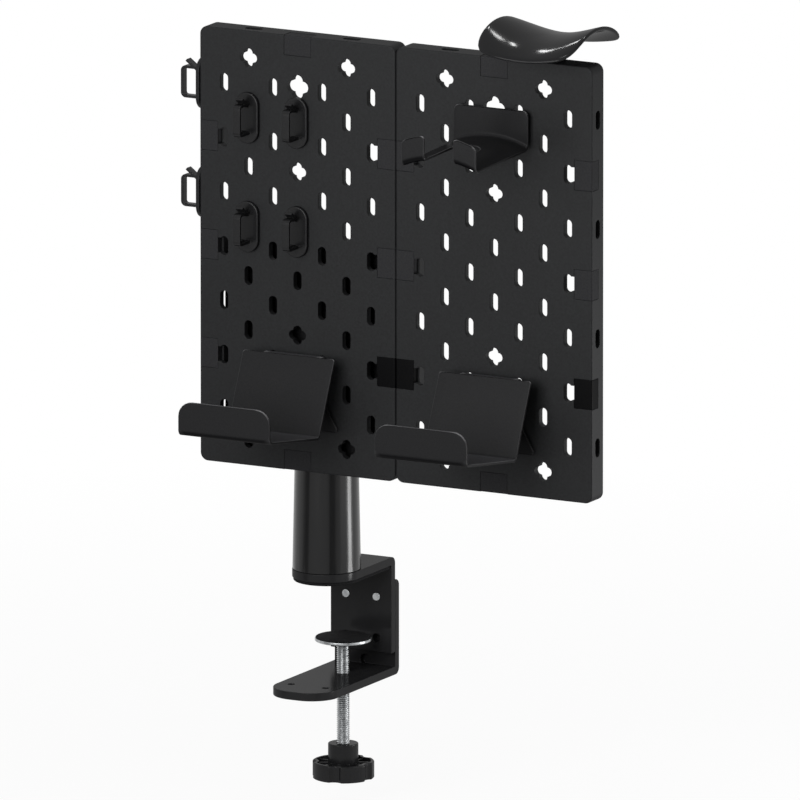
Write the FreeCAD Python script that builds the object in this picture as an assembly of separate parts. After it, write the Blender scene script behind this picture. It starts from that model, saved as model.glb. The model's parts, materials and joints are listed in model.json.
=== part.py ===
import FreeCAD, Part
import math
import os

# A clamp-on desk pegboard, in millimetres. The origin is on the column axis in the desk-top plane,
# +Z is up and the board faces -Y.

Vector = FreeCAD.Vector
ALONG_X = Vector(1, 0, 0)
ALONG_Y = Vector(0, 1, 0)
ALONG_Z = Vector(0, 0, 1)
PAST = 1.0                    # how far a cutting shape runs past the face it opens
FIT_CLEAR = 0.1               # round a screw or bolt in its hole
LEAST_R = 0.5                 # least radius of an inner corner

# Peg grid and panel moulding
PITCH = 40.0                  # between slots of one column, and between every second column
PANEL_COLUMNS = 4
PANEL_ROWS = 8
PANEL_T = 17.0
FACE_T = 3.0
RIM_T = 3.0
SLOT_W = 6.65
SLOT_H = 13.8
SLOT_DEPTH = 5.6              # wall that a peg passes through, collar included
COLLAR_T = 2.0
FOIL_ACROSS = 14.0            # four-lobed hole
BIG_FOIL_ACROSS = 17.6
BIG_FOIL_IN = 37.6            # middle of a large four-lobed hole in from the panel's level edge
CORNER_R = 6.0
FRONT_FILLET = 1.2
SEAM_GAP = 0.4
BOARD_BELOW_TOP = 158.3       # board's lower edge below the column's upper end
BOSS_R = 4.5

# Edge sockets, their covers and the joiners across the seam
TAB_LENGTH = 22.0             # along the panel edge
TAB_WIDTH = 15.0              # in from the panel edge
TAB_DEPTH = 9.6               # back from the panel face
SOCKET_FLOOR = 4.0
SOCKET_WALL = 1.6
NOTCH_H = 11.0                # opening from a socket to the slot beside it
COVER_WALL = 2.2
COVER_CLEAR = 0.15
JOINER_T = 4.0
JOINER_SCREW_R = 1.4
JOINER_HEAD_R = 2.8
JOINER_HEAD_H = 1.8

# Column and what fastens the board to it
COLUMN_FOOT_R = 24.8
COLUMN_TOP_R = 19.9
COLUMN_H = 238.0
COLUMN_WALL = 2.5
COLUMN_GAP = 1.25             # least distance from the column to the mount plate
FOOT_H = 21.0
CAP_T = 2.5
CAP_PLUG_H = 8.0
WASHER_R = 20.0
WASHER_T = 1.0
PIVOT_R = 4.0
PIVOT_HEAD_R = 6.5
PIVOT_HEAD_H = 3.2
PIVOT_HEAD_ROOM = 1.0         # round the bolt's head under the jaw
PLATE_W = 137.0
PLATE_H = 161.0
PLATE_T = 3.0
PLATE_MARGIN = 5.0            # plate's lower edge above the panel's
PLATE_CORNER_R = 6.0
PLATE_SCREW_R = 1.9
PLATE_SCREW_BITE = 9.0
PLATE_SCREW_HEAD_R = 4.0
PLATE_SCREW_HEAD_H = 2.4
SADDLE_W = 34.0
SADDLE_H = 28.0
SADDLE_WRAP = 12.0            # how far a cradle reaches round the column
BOLT_R = 3.0
BOLT_BELOW_TOP = 38.3         # upper bolt below the column's upper end
BOLT_SPACING = 40.0
BOLT_HEAD_R = 5.0
BOLT_HEAD_H = 4.0
NUT_ACROSS = 12.0
NUT_T = 6.0

# Desk clamp
JAW_W = 50.0
JAW_T = 6.0
DESK_PAD_T = 2.5
DESK_PAD_INSET = 0.8
JAW_BACK = 52.4               # column axis to the inside of the throat
JAW_BEND_R = 5.0
FLANGE_DROP = 62.7            # flange's lower end below the desk top
LOWER_JAW_TOP = 9.0           # lower jaw's upper end below the desk top
LOWER_JAW_FLOOR = 73.5        # lower jaw's upper face below the desk top
LOWER_JAW_REACH = 51.0        # lower jaw's front end ahead of the column axis
LOWER_JAW_CORNER_R = 21.0
JAW_SCREW_R = 3.0
JAW_SCREW_SPACING = 25.0
JAW_SCREW_ROW = 21.8          # first row of holes below the desk top
JAW_ROW_STEP = 30.5           # second row below the first
JAW_SCREW_HEAD_R = 5.5
JAW_SCREW_HEAD_H = 3.3
JAW_SCREW_PROUD = 0.3
JAW_FRONT_HOLE_R = 2.5
JAW_FRONT_HOLE_X = 14.0
JAW_FRONT_HOLE_IN = 23.0      # front holes back from the lower jaw's front end
JAW_RECESS_R = 3.8            # round recess at the foot of the lower jaw's upright
JAW_RECESS_DEPTH = 4.0
JAW_RECESS_UP = 2.9           # its middle above the jaw's upper face

# Clamp screw, its disc and knob
SCREW_Y = 25.1
SCREW_R = 4.85
SCREW_TIP_R = 4.0
SCREW_TIP_H = 3.3
DISC_TOP = 47.1               # below the desk top
DISC_R = 20.6
DISC_T = 2.2
DISC_LINER_T = 0.6
DISC_EDGE_R = 0.6
HUB_TOP_R = 13.0
HUB_FOOT_R = 6.0
HUB_H = 3.6
KNOB_TOP = 125.8              # below the desk top
KNOB_HUB_R = 11.0
KNOB_HUB_H = 13.2
KNOB_R = 22.5
KNOB_H = 12.5
KNOB_LOBES = 5
KNOB_NOTCH_R = 5.5
KNOB_NOTCH_DEPTH = 2.6
KNOB_EDGE_R = 0.7
KNOB_RIM_T = 2.4              # wall round the hollow between hub and rim
KNOB_FLOOR_T = 4.5
KNOB_RIB_T = 1.6
KNOB_RIB_DOWN = 1.2           # ribs' upper edges below the rim
KNOB_TURN = 66.0              # angle of the first notch from +X

# Hooks that hang in the slots
SHEET_T = 2.0
NECK_W = 5.0
NECK_CLEAR = 0.35
PILOT_CLEAR = NECK_CLEAR / 3  # round a screw in a moulded hole
TONGUE_GAP = 0.4              # between a tongue and the back of the slot's collar
HANG_GAP = 0.3                # between a hung piece and the panel

# Trays
TRAY_W = 74.6
TRAY_FOOT_DOWN = 8.2          # bracket's lower end below the lower slots that it uses
TRAY_TOP_UP = 8.5             # slope's upper edge above the upper slots
TRAY_TROUGH_DOWN = 4.6        # below the lower slots
TRAY_FLOOR_FRONT_UP = 5.7     # above the lower slots
TRAY_TOP_REACH = 13.0         # ahead of the panel face, as are the next two
TRAY_TROUGH_REACH = 36.7
TRAY_FRONT_REACH = 111.5
TRAY_LIP_H = 23.1
TRAY_LIP_R = 11.0
TRAY_BEND_R = 2.5
TRAY_BRACKET_EDGE = 1.0       # bracket's sheet beside a hook's neck
TRAY_BRACKET_DOWN = 4.0       # bracket's top below the slope's upper edge
TRAY_FOOT_FLARE = 10.9        # bracket's lower end wider, on each side
TRAY_FOOT_H = 20.0

# Controller hook
HOOK_W = 60.2
HOOK_TOP_UP = 2.0             # plate's upper edge above the middle of its slots
HOOK_H = 29.8
HOOK_STANDOFF = 2.7           # plate ahead of the panel, past the hanging gap
HOOK_CORNER_R = 4.0
HOOK_REACH = 84.9             # ahead of the panel face
HOOK_RISE = 6.3               # crown of the arched shelf
HOOK_LIP_H = 20.4
HOOK_LIP_R = 3.0
HOOK_CUT_W = 23.4
HOOK_CUT_D = 50.4

# Headphone rest
REST_HALF_X = 41.4
REST_HALF_Y = 45.0
REST_T = 3.0
REST_POWER = 5.5              # squareness of the plan outline
REST_CROWN = 19.2             # middle of the upper face above the board's top
REST_END_RISE = 8.9
REST_END_CURL = 0.38          # share by which the rise eases off towards the ends
REST_ARCH_R = 99.0            # front-to-back arch at the middle
REST_END_TIGHTEN = 0.4        # share by which the arch tightens towards the ends
REST_STEM_W = 24.0
REST_STEM_T = 12.0

# Cable clips
CLIP_BASE_W = 18.4
CLIP_BASE_H = 37.5
CLIP_BASE_T = 3.0
CLIP_EDGE_R = 0.9
CLIP_DROP = 3.65              # base centre below the slot centre, and the lift that frees the clip
CLIP_REACH = 18.6
CLIP_LOOP_H = 23.6
CLIP_BAND_W = 6.0
CLIP_BAND_T = 2.0
CLIP_POCKET_W = 13.8          # pocket in the base behind the loop
CLIP_POCKET_D = 1.4
CLIP_BEND_R = 1.8
CLIP_GATE = 1.0
CLIP_FLARE_OUT = 9.3
CLIP_FLARE_UP = 7.0

# Places that follow from the sizes above
cell_w = PANEL_COLUMNS * PITCH
panel_w = cell_w - SEAM_GAP
panel_h = PANEL_ROWS * PITCH
edge_x = SEAM_GAP / 2
jaw_top = DESK_PAD_T + JAW_T
foot_bottom = jaw_top + WASHER_T
column_bottom = jaw_top + HANG_GAP
column_top = column_bottom + COLUMN_H
board_bottom = column_top - BOARD_BELOW_TOP
board_top = board_bottom + panel_h
neck_reach = SLOT_H / 2 - SLOT_W / 2 + math.sqrt((SLOT_W / 2) ** 2 - (NECK_W / 2) ** 2) - NECK_CLEAR
hook_hold = 2 * neck_reach - SHEET_T - NECK_CLEAR
tray_plate_bottom = PITCH - TRAY_FOOT_DOWN          # above the panel's lower edge, as are the next four
tray_top = 2 * PITCH + TRAY_TOP_UP
tray_trough = PITCH - TRAY_TROUGH_DOWN
tray_floor_front = PITCH + TRAY_FLOOR_FRONT_UP
hook_bottom = (PANEL_ROWS - 1) * PITCH + HOOK_TOP_UP - HOOK_H
tray_bracket_w = PITCH + NECK_W + 2 * TRAY_BRACKET_EDGE
tray_foot_w = tray_bracket_w + 2 * TRAY_FOOT_FLARE
bolt_heights = [column_top - BOLT_BELOW_TOP - BOLT_SPACING, column_top - BOLT_BELOW_TOP]
tab_heights = [2 * PITCH, 4 * PITCH, 6 * PITCH]
rest_blade_depth = PITCH / 2 - FOIL_ACROSS / 2 - COLLAR_T - HANG_GAP
boss_places = [(x, z) for x in (PITCH, 3 * PITCH) for z in (PITCH, 3 * PITCH)]


def column_radius(z):
    share = (z - column_bottom) / COLUMN_H
    return COLUMN_FOOT_R + (COLUMN_TOP_R - COLUMN_FOOT_R) * share


plate_bottom = board_bottom + PLATE_MARGIN
plate_back_y = -(column_radius(plate_bottom) + COLUMN_GAP)
plate_front_y = plate_back_y - PLATE_T
front_y = plate_front_y - PANEL_T
left_corner = Vector(-cell_w / 2, front_y, board_bottom)
right_corner = Vector(cell_w / 2, front_y, board_bottom)


def box(x0, x1, y0, y1, z0, z1):
    return Part.makeBox(x1 - x0, y1 - y0, z1 - z0, Vector(x0, y0, z0))


def rod(start, radius, length, direction):
    return Part.makeCylinder(radius, length, start, direction)


def moved(shape, place):
    copy = shape.copy()
    copy.translate(place)
    return copy


def group(solids):
    return Part.makeCompound(solids)


def rounded_path(points, radii, closed=True):
    """Wire of straight runs joined by tangent arcs of the given radii, one per point."""
    count = len(points)
    arrivals = []
    leavings = []
    arcs = []
    for i, point in enumerate(points):
        is_end = not closed and i in (0, count - 1)
        if is_end or radii[i] <= 0:
            arrivals.append(point)
            leavings.append(point)
            arcs.append(None)
            continue
        back = (points[i - 1] - point).normalize()
        ahead = (points[(i + 1) % count] - point).normalize()
        half_angle = back.getAngle(ahead) / 2
        run = radii[i] / math.tan(half_angle)
        middle = (back + ahead).normalize()
        depth = radii[i] / math.sin(half_angle) - radii[i]
        arrivals.append(point + back * run)
        leavings.append(point + ahead * run)
        arcs.append(Part.Arc(arrivals[i], point + middle * depth, leavings[i]).toShape())
    edges = []
    for i in range(count):
        if arcs[i] is not None:
            edges.append(arcs[i])
        following = (i + 1) % count
        is_gap = following == 0 and not closed
        if not is_gap and leavings[i].distanceToPoint(arrivals[following]) > 1e-6:
            edges.append(Part.makeLine(leavings[i], arrivals[following]))
    return Part.Wire(edges)


def prism(wire, way):
    return Part.Face(wire).extrude(way)


def rounded_rectangle(width, height, radius):
    """Wire in the XZ plane, centred on the origin."""
    x = width / 2
    z = height / 2
    corners = [Vector(-x, 0, -z), Vector(x, 0, -z), Vector(x, 0, z), Vector(-x, 0, z)]
    return rounded_path(corners, [radius] * 4)


def stadium(width, height):
    """Upright round-ended slot in the XZ plane, centred on the origin."""
    r = width / 2
    z = height / 2 - r
    foot = Part.Arc(Vector(-r, 0, -z), Vector(0, 0, -z - r), Vector(r, 0, -z)).toShape()
    right = Part.makeLine(Vector(r, 0, -z), Vector(r, 0, z))
    head = Part.Arc(Vector(r, 0, z), Vector(0, 0, z + r), Vector(-r, 0, z)).toShape()
    left = Part.makeLine(Vector(-r, 0, z), Vector(-r, 0, -z))
    return Part.Wire([foot, right, head, left])


def quatrefoil(across):
    """Four half-round lobes on a square, in the XZ plane, centred on the origin."""
    a = across / 4
    corners = [Vector(a, 0, -a), Vector(a, 0, a), Vector(-a, 0, a), Vector(-a, 0, -a)]
    tips = [Vector(2 * a, 0, 0), Vector(0, 0, 2 * a), Vector(-2 * a, 0, 0), Vector(0, 0, -2 * a)]
    arcs = []
    for i, tip in enumerate(tips):
        arcs.append(Part.Arc(corners[i], tip, corners[(i + 1) % 4]).toShape())
    return Part.Wire(arcs)


def bent_strip(points, bend_radii, thickness):
    """Face of a bent strip in the YZ plane. Its material lies to the left of the given run of points,
    and each bend has the given radius on its inner side."""
    ways = [(points[i + 1] - points[i]).normalize() for i in range(len(points) - 1)]
    lefts = [Vector(0, -way.z, way.y) for way in ways]
    near = []
    far = []
    for i, point in enumerate(points):
        before = lefts[max(i - 1, 0)]
        after = lefts[min(i, len(lefts) - 1)]
        far_point = point + (before + after) * (thickness / (1 + before.dot(after)))
        turn = 0.0
        if 0 < i < len(points) - 1:
            turn = ways[i - 1].y * ways[i].z - ways[i - 1].z * ways[i].y
        inner = bend_radii[i]
        outer = inner + thickness if inner > 0 else 0
        near.append((point, outer if turn > 0 else inner))
        far.append((far_point, inner if turn > 0 else outer))
    ring = near + far[::-1]
    return Part.Face(rounded_path([item[0] for item in ring], [item[1] for item in ring]))


def edges_where(shape, test):
    """Edges whose two ends and middle all pass the test."""
    found = []
    for edge in shape.Edges:
        first, last = edge.ParameterRange
        samples = [edge.valueAt(first), edge.valueAt((first + last) / 2), edge.valueAt(last)]
        if all(test(point) for point in samples):
            found.append(edge)
    return found


def near(a, b):
    return abs(a - b) < 1e-4


# Panel moulding, in its own corner frame: X along the face, Y back from it, Z up

def peg_holes():
    """Kind and place of every hole in a panel face."""
    holes = []
    half = PITCH / 2
    last = 2 * PANEL_COLUMNS
    middle = PANEL_COLUMNS
    for i in range(1, last, 2):
        for row in range(1, PANEL_ROWS):
            holes.append(("slot", i * half, row * PITCH))
    for i in (2, last - 2):
        for row in range(PANEL_ROWS):
            kind = "foil" if row in (0, PANEL_ROWS - 1) else "slot"
            holes.append((kind, i * half, half + row * PITCH))
    foil_rows = (2, PANEL_ROWS - 3)
    for row in range(1, PANEL_ROWS - 1):
        kind = "foil" if row in foil_rows else "slot"
        holes.append((kind, middle * half, half + row * PITCH))
    holes.append(("big_foil", middle * half, BIG_FOIL_IN))
    holes.append(("big_foil", middle * half, panel_h - BIG_FOIL_IN))
    return holes


def hole_outline(kind):
    if kind == "slot":
        return stadium(SLOT_W, SLOT_H)
    return quatrefoil(FOIL_ACROSS if kind == "foil" else BIG_FOIL_ACROSS)


def collar_outline(kind):
    if kind == "slot":
        return stadium(SLOT_W + 2 * COLLAR_T, SLOT_H + 2 * COLLAR_T)
    across = FOIL_ACROSS if kind == "foil" else BIG_FOIL_ACROSS
    return Part.Wire(Part.makeCircle(across / 2 + COLLAR_T, Vector(0, 0, 0), ALONG_Y))


def edge_slot(width, height, depth):
    """Slot that runs in from a panel edge along +X, upright, at half the panel's thickness."""
    shape = prism(stadium(width, height), ALONG_Y * depth)
    shape.rotate(Vector(0, 0, 0), ALONG_Z, -90)
    shape.translate(Vector(0, PANEL_T / 2, 0))
    return shape


def on_right_edge(shape):
    return shape.mirror(Vector(cell_w / 2, 0, 0), ALONG_X)


def on_top_edge(shape):
    """Turns a piece of the left edge, at height 0, to the middle of the top edge."""
    turned = shape.copy()
    turned.rotate(Vector(0, 0, 0), ALONG_Y, 90)
    turned.translate(Vector(0, 0, panel_h))
    return turned


def on_bottom_edge(shape):
    turned = shape.copy()
    turned.rotate(Vector(0, 0, 0), ALONG_Y, -90)
    return turned


def on_side_edges(shape, heights):
    """The piece of the left edge, repeated at each height on both upright edges."""
    copies = []
    for height in heights:
        placed = moved(shape, Vector(0, 0, height))
        copies.append(placed)
        copies.append(on_right_edge(placed))
    return copies


def on_level_edges(shape, places):
    """The piece of the left edge, repeated at each place along the top and bottom edges."""
    copies = []
    for x in places:
        copies.append(moved(on_top_edge(shape), Vector(x, 0, 0)))
        copies.append(moved(on_bottom_edge(shape), Vector(x, 0, 0)))
    return copies


def build_panel():
    middle = Vector(cell_w / 2, 0, panel_h / 2)
    shell = moved(prism(rounded_rectangle(panel_w, panel_h, CORNER_R), ALONG_Y * PANEL_T), middle)
    shell = shell.makeFillet(FRONT_FILLET, edges_where(shell, lambda point: near(point.y, 0)))
    inner_r = max(CORNER_R - RIM_T, LEAST_R)
    hollow = prism(rounded_rectangle(panel_w - 2 * RIM_T, panel_h - 2 * RIM_T, inner_r), ALONG_Y * PANEL_T)
    shell = shell.cut(moved(hollow, middle + ALONG_Y * FACE_T))

    added = []
    cut = []
    for kind, x, z in peg_holes():
        collar = prism(collar_outline(kind), ALONG_Y * (SLOT_DEPTH - FACE_T))
        added.append(moved(collar, Vector(x, FACE_T, z)))
        cut.append(moved(prism(hole_outline(kind), ALONG_Y * (SLOT_DEPTH + 2 * PAST)), Vector(x, -PAST, z)))

    half_tab = TAB_LENGTH / 2
    socket = box(edge_x + RIM_T, TAB_WIDTH + SOCKET_WALL, FACE_T, TAB_DEPTH + SOCKET_FLOOR,
                 -half_tab - SOCKET_WALL, half_tab + SOCKET_WALL)
    pocket = box(-PAST, TAB_WIDTH, -PAST, TAB_DEPTH, -half_tab, half_tab)
    notch = box(TAB_WIDTH - PAST, PITCH / 2, -PAST, SLOT_DEPTH, -NOTCH_H / 2, NOTCH_H / 2)
    screw_hole = rod(Vector(TAB_WIDTH / 2, TAB_DEPTH - PAST, 0), JOINER_SCREW_R + PILOT_CLEAR,
                     SOCKET_FLOOR + 2 * PAST, ALONG_Y)
    level_tabs = [cell_w / 2]
    added += on_side_edges(socket, tab_heights) + on_level_edges(socket, level_tabs)
    cut += on_side_edges(pocket, tab_heights) + on_level_edges(pocket, level_tabs)
    cut += on_side_edges(notch, tab_heights)
    cut += on_side_edges(screw_hole, tab_heights)

    slot_heights = [row * PITCH for row in range(1, PANEL_ROWS, 2)]
    slot_places = [PITCH, 3 * PITCH]
    half_pad = SLOT_W / 2 + COLLAR_T
    pad = box(edge_x + RIM_T, edge_x + SLOT_DEPTH, FACE_T, PANEL_T / 2 + half_pad,
              -SLOT_H / 2 - COLLAR_T, SLOT_H / 2 + COLLAR_T)
    side_slot = moved(edge_slot(SLOT_W, SLOT_H, SLOT_DEPTH + 2 * PAST), Vector(edge_x - PAST, 0, 0))
    added += on_side_edges(pad, slot_heights) + on_level_edges(pad, slot_places)
    cut += on_side_edges(side_slot, slot_heights) + on_level_edges(side_slot, slot_places)

    for x, z in boss_places:
        added.append(rod(Vector(x, FACE_T, z), BOSS_R, PANEL_T - FACE_T, ALONG_Y))
        cut.append(rod(Vector(x, PANEL_T - PLATE_SCREW_BITE - PAST, z), PLATE_SCREW_R + PILOT_CLEAR,
                       PLATE_SCREW_BITE + 2 * PAST, ALONG_Y))

    return shell.fuse(added).removeSplitter().cut(group(cut)).removeSplitter()


def build_edge_cover():
    """Cap that fills a socket of the left edge, flush with the face and the edge."""
    half = TAB_LENGTH / 2 - COVER_CLEAR
    inner_x = TAB_WIDTH - COVER_CLEAR
    cap = box(edge_x, inner_x, 0, TAB_DEPTH - COVER_CLEAR, -half, half)
    brow = edges_where(cap, lambda point: near(point.x, edge_x) and near(point.y, 0))
    cap = cap.makeFillet(FRONT_FILLET, brow)
    core = box(edge_x + COVER_WALL, inner_x - COVER_WALL, COVER_WALL, TAB_DEPTH, -half + COVER_WALL,
               half - COVER_WALL)
    return cap.cut(core)


def build_seam_cover():
    """Flat cap over one end of a joiner, for the left edge."""
    half = TAB_LENGTH / 2 - COVER_CLEAR
    back = TAB_DEPTH - JOINER_T - COVER_CLEAR
    cap = box(edge_x, TAB_WIDTH - COVER_CLEAR, 0, back, -half, half)
    brow = edges_where(cap, lambda point: near(point.x, edge_x) and near(point.y, 0))
    return cap.makeFillet(FRONT_FILLET, brow)


def joiner_parts():
    """Bars across the seam with their screws, in the right panel's corner frame."""
    reach = TAB_WIDTH - COVER_CLEAR
    half = TAB_LENGTH / 2 - COVER_CLEAR
    front = TAB_DEPTH - JOINER_T
    bars = []
    screws = []
    for height in tab_heights:
        bar = box(-reach, reach, front, TAB_DEPTH, height - half, height + half)
        for x in (-TAB_WIDTH / 2, TAB_WIDTH / 2):
            start = Vector(x, front, height)
            sunk = start + ALONG_Y * JOINER_HEAD_H
            bar = bar.cut(rod(start, JOINER_HEAD_R + COVER_CLEAR, JOINER_HEAD_H, ALONG_Y))
            bar = bar.cut(rod(start, JOINER_SCREW_R + PILOT_CLEAR, JOINER_T, ALONG_Y))
            shank = rod(sunk, JOINER_SCREW_R, JOINER_T - JOINER_HEAD_H + SOCKET_FLOOR, ALONG_Y)
            screws.append(rod(start, JOINER_HEAD_R, JOINER_HEAD_H, ALONG_Y).fuse(shank).removeSplitter())
        bars.append(bar)
    return bars, screws


# Column and mount plate

def column_cone(z0, z1, shrink):
    foot = Vector(0, 0, z0)
    return Part.makeCone(column_radius(z0) - shrink, column_radius(z1) - shrink, z1 - z0, foot, ALONG_Z)


def build_column():
    tube = column_cone(column_bottom, column_top, 0)
    tube = tube.cut(column_cone(column_bottom - PAST, column_top + PAST, COLUMN_WALL))
    for z in bolt_heights:
        tube = tube.cut(rod(Vector(0, -COLUMN_FOOT_R - PAST, z), BOLT_R + HANG_GAP, COLUMN_FOOT_R, ALONG_Y))
    return tube


def build_column_foot():
    plug = column_cone(foot_bottom, foot_bottom + FOOT_H, COLUMN_WALL + COVER_CLEAR)
    return plug.cut(rod(Vector(0, 0, foot_bottom - PAST), PIVOT_R + FIT_CLEAR, FOOT_H + 2 * PAST, ALONG_Z))


def build_column_cap():
    lid = rod(Vector(0, 0, column_top), COLUMN_TOP_R, CAP_T, ALONG_Z)
    lid = lid.makeFillet(CAP_T / 2, edges_where(lid, lambda point: near(point.z, column_top + CAP_T)))
    plug = column_cone(column_top - CAP_PLUG_H, column_top, COLUMN_WALL + COVER_CLEAR)
    return lid.fuse(plug).removeSplitter()


def build_pivot_bolt():
    head_bottom = DESK_PAD_T + HANG_GAP
    head = rod(Vector(0, 0, head_bottom), PIVOT_HEAD_R, PIVOT_HEAD_H, ALONG_Z)
    shank_z = head_bottom + PIVOT_HEAD_H
    shank = rod(Vector(0, 0, shank_z), PIVOT_R, foot_bottom + FOOT_H - shank_z, ALONG_Z)
    return head.fuse(shank).removeSplitter()


def build_washer():
    ring = rod(Vector(0, 0, jaw_top), WASHER_R, WASHER_T, ALONG_Z)
    return ring.cut(rod(Vector(0, 0, jaw_top), PIVOT_R + HANG_GAP, WASHER_T, ALONG_Z))


def build_mount_plate():
    place = Vector(0, plate_front_y, plate_bottom + PLATE_H / 2)
    plate = moved(prism(rounded_rectangle(PLATE_W, PLATE_H, PLATE_CORNER_R), ALONG_Y * PLATE_T), place)
    for x, z in boss_places:
        start = left_corner + Vector(x, PANEL_T - PAST, z)
        plate = plate.cut(rod(start, PLATE_SCREW_R + HANG_GAP, PLATE_T + 2 * PAST, ALONG_Y))
    for z in bolt_heights:
        start = Vector(0, plate_front_y - PAST, z)
        plate = plate.cut(rod(start, BOLT_R + HANG_GAP, PLATE_T + 2 * PAST, ALONG_Y))
    return plate


def plate_screws():
    screws = []
    for x, z in boss_places:
        seat = left_corner + Vector(x, PANEL_T + PLATE_T, z)
        head = rod(seat, PLATE_SCREW_HEAD_R, PLATE_SCREW_HEAD_H, ALONG_Y)
        head = head.makeFillet(PLATE_SCREW_HEAD_H / 2,
                               edges_where(head, lambda point: near(point.y, seat.y + PLATE_SCREW_HEAD_H)))
        length = PLATE_T + PLATE_SCREW_BITE
        shank = rod(seat - ALONG_Y * length, PLATE_SCREW_R, length, ALONG_Y)
        screws.append(head.fuse(shank).removeSplitter())
    return screws


def board_fasteners():
    """Cradles between plate and column, with the bolts through them and the nuts inside the column."""
    cradles = []
    bolts = []
    nuts = []
    around = column_cone(column_bottom, column_top, -FIT_CLEAR)
    inside = column_cone(column_bottom, column_top, COLUMN_WALL + FIT_CLEAR)
    for z in bolt_heights:
        wall_y = -column_radius(z) + COLUMN_WALL
        cradle = box(-SADDLE_W / 2, SADDLE_W / 2, plate_back_y, plate_back_y + SADDLE_WRAP,
                     z - SADDLE_H / 2, z + SADDLE_H / 2)
        hole = rod(Vector(0, plate_back_y - PAST, z), BOLT_R + HANG_GAP, SADDLE_WRAP + PAST, ALONG_Y)
        cradles.append(cradle.cut(around).cut(hole))
        seat = Vector(0, plate_front_y, z)
        head = rod(seat - ALONG_Y * BOLT_HEAD_H, BOLT_HEAD_R, BOLT_HEAD_H, ALONG_Y)
        shank = rod(seat, BOLT_R, wall_y + NUT_T - plate_front_y, ALONG_Y)
        bolts.append(head.fuse(shank).removeSplitter())
        nut = box(-NUT_ACROSS / 2, NUT_ACROSS / 2, wall_y - PAST, wall_y + NUT_T,
                  z - NUT_ACROSS / 2, z + NUT_ACROSS / 2)
        bore = rod(Vector(0, wall_y - 2 * PAST, z), BOLT_R + FIT_CLEAR, NUT_T + 4 * PAST, ALONG_Y)
        nuts.append(nut.common(inside).cut(bore))
    return cradles, bolts, nuts


# Desk clamp

def jaw_plan(inset, back_y, z):
    """Plan outline of the upper jaw, round at the front and square at the back."""
    r = JAW_W / 2 - inset
    front = Part.Arc(Vector(-r, 0, z), Vector(0, -r, z), Vector(r, 0, z)).toShape()
    right = Part.makeLine(Vector(r, 0, z), Vector(r, back_y, z))
    back = Part.makeLine(Vector(r, back_y, z), Vector(-r, back_y, z))
    left = Part.makeLine(Vector(-r, back_y, z), Vector(-r, 0, z))
    return Part.Wire([front, right, back, left])


def jaw_screw_places():
    return [(x, -JAW_SCREW_ROW) for x in (-JAW_SCREW_SPACING / 2, JAW_SCREW_SPACING / 2)]


def build_upper_jaw():
    back = JAW_BACK + JAW_T
    plate = prism(jaw_plan(0, back, DESK_PAD_T), ALONG_Z * JAW_T)
    flange = box(-JAW_W / 2, JAW_W / 2, JAW_BACK, back, -FLANGE_DROP, jaw_top)
    jaw = plate.fuse(flange).removeSplitter()
    bend = edges_where(jaw, lambda point: near(point.y, back) and near(point.z, jaw_top))
    jaw = jaw.makeFillet(JAW_BEND_R, bend)
    head_room = rod(Vector(0, 0, DESK_PAD_T), PIVOT_HEAD_R + PIVOT_HEAD_ROOM, PIVOT_HEAD_H + HANG_GAP + FIT_CLEAR,
                    ALONG_Z)
    bore = rod(Vector(0, 0, DESK_PAD_T - PAST), PIVOT_R + FIT_CLEAR, JAW_T + 2 * PAST, ALONG_Z)
    holes = []
    for x, z in jaw_screw_places():
        for row in (0, 1):
            start = Vector(x, JAW_BACK - PAST, z - row * JAW_ROW_STEP)
            holes.append(rod(start, JAW_SCREW_R + FIT_CLEAR, JAW_T + 2 * PAST, ALONG_Y))
    return jaw.cut(group([head_room, bore] + holes))


def build_desk_pad():
    return prism(jaw_plan(DESK_PAD_INSET, JAW_BACK - DESK_PAD_INSET, 0), ALONG_Z * DESK_PAD_T)


def build_lower_jaw():
    front = JAW_BACK + JAW_T
    back = front + JAW_T
    floor_z = -LOWER_JAW_FLOOR
    w = JAW_W / 2
    corners = [Vector(-w, -LOWER_JAW_REACH, floor_z), Vector(w, -LOWER_JAW_REACH, floor_z),
               Vector(w, back, floor_z), Vector(-w, back, floor_z)]
    round_front = [LOWER_JAW_CORNER_R, LOWER_JAW_CORNER_R, 0, 0]
    plate = prism(rounded_path(corners, round_front), ALONG_Z * -JAW_T)
    upright = box(-w, w, front, back, floor_z - JAW_T, -LOWER_JAW_TOP)
    jaw = plate.fuse(upright).removeSplitter()
    bend = edges_where(jaw, lambda point: near(point.y, back) and near(point.z, floor_z - JAW_T))
    brow = edges_where(jaw, lambda point: near(point.y, back) and near(point.z, -LOWER_JAW_TOP))
    jaw = jaw.makeFillet(JAW_BEND_R, bend + brow)
    holes = [rod(Vector(0, SCREW_Y, floor_z - JAW_T - PAST), SCREW_R + FIT_CLEAR, JAW_T + 2 * PAST, ALONG_Z)]
    for x, z in jaw_screw_places():
        holes.append(rod(Vector(x, front - PAST, z), JAW_SCREW_R + FIT_CLEAR, JAW_T + 2 * PAST, ALONG_Y))
    for x in (-JAW_FRONT_HOLE_X, JAW_FRONT_HOLE_X):
        start = Vector(x, JAW_FRONT_HOLE_IN - LOWER_JAW_REACH, floor_z - JAW_T - PAST)
        holes.append(rod(start, JAW_FRONT_HOLE_R, JAW_T + 2 * PAST, ALONG_Z))
    holes.append(rod(Vector(0, front, floor_z + JAW_RECESS_UP), JAW_RECESS_R, JAW_RECESS_DEPTH, ALONG_Y))
    return jaw.cut(group(holes))


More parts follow.
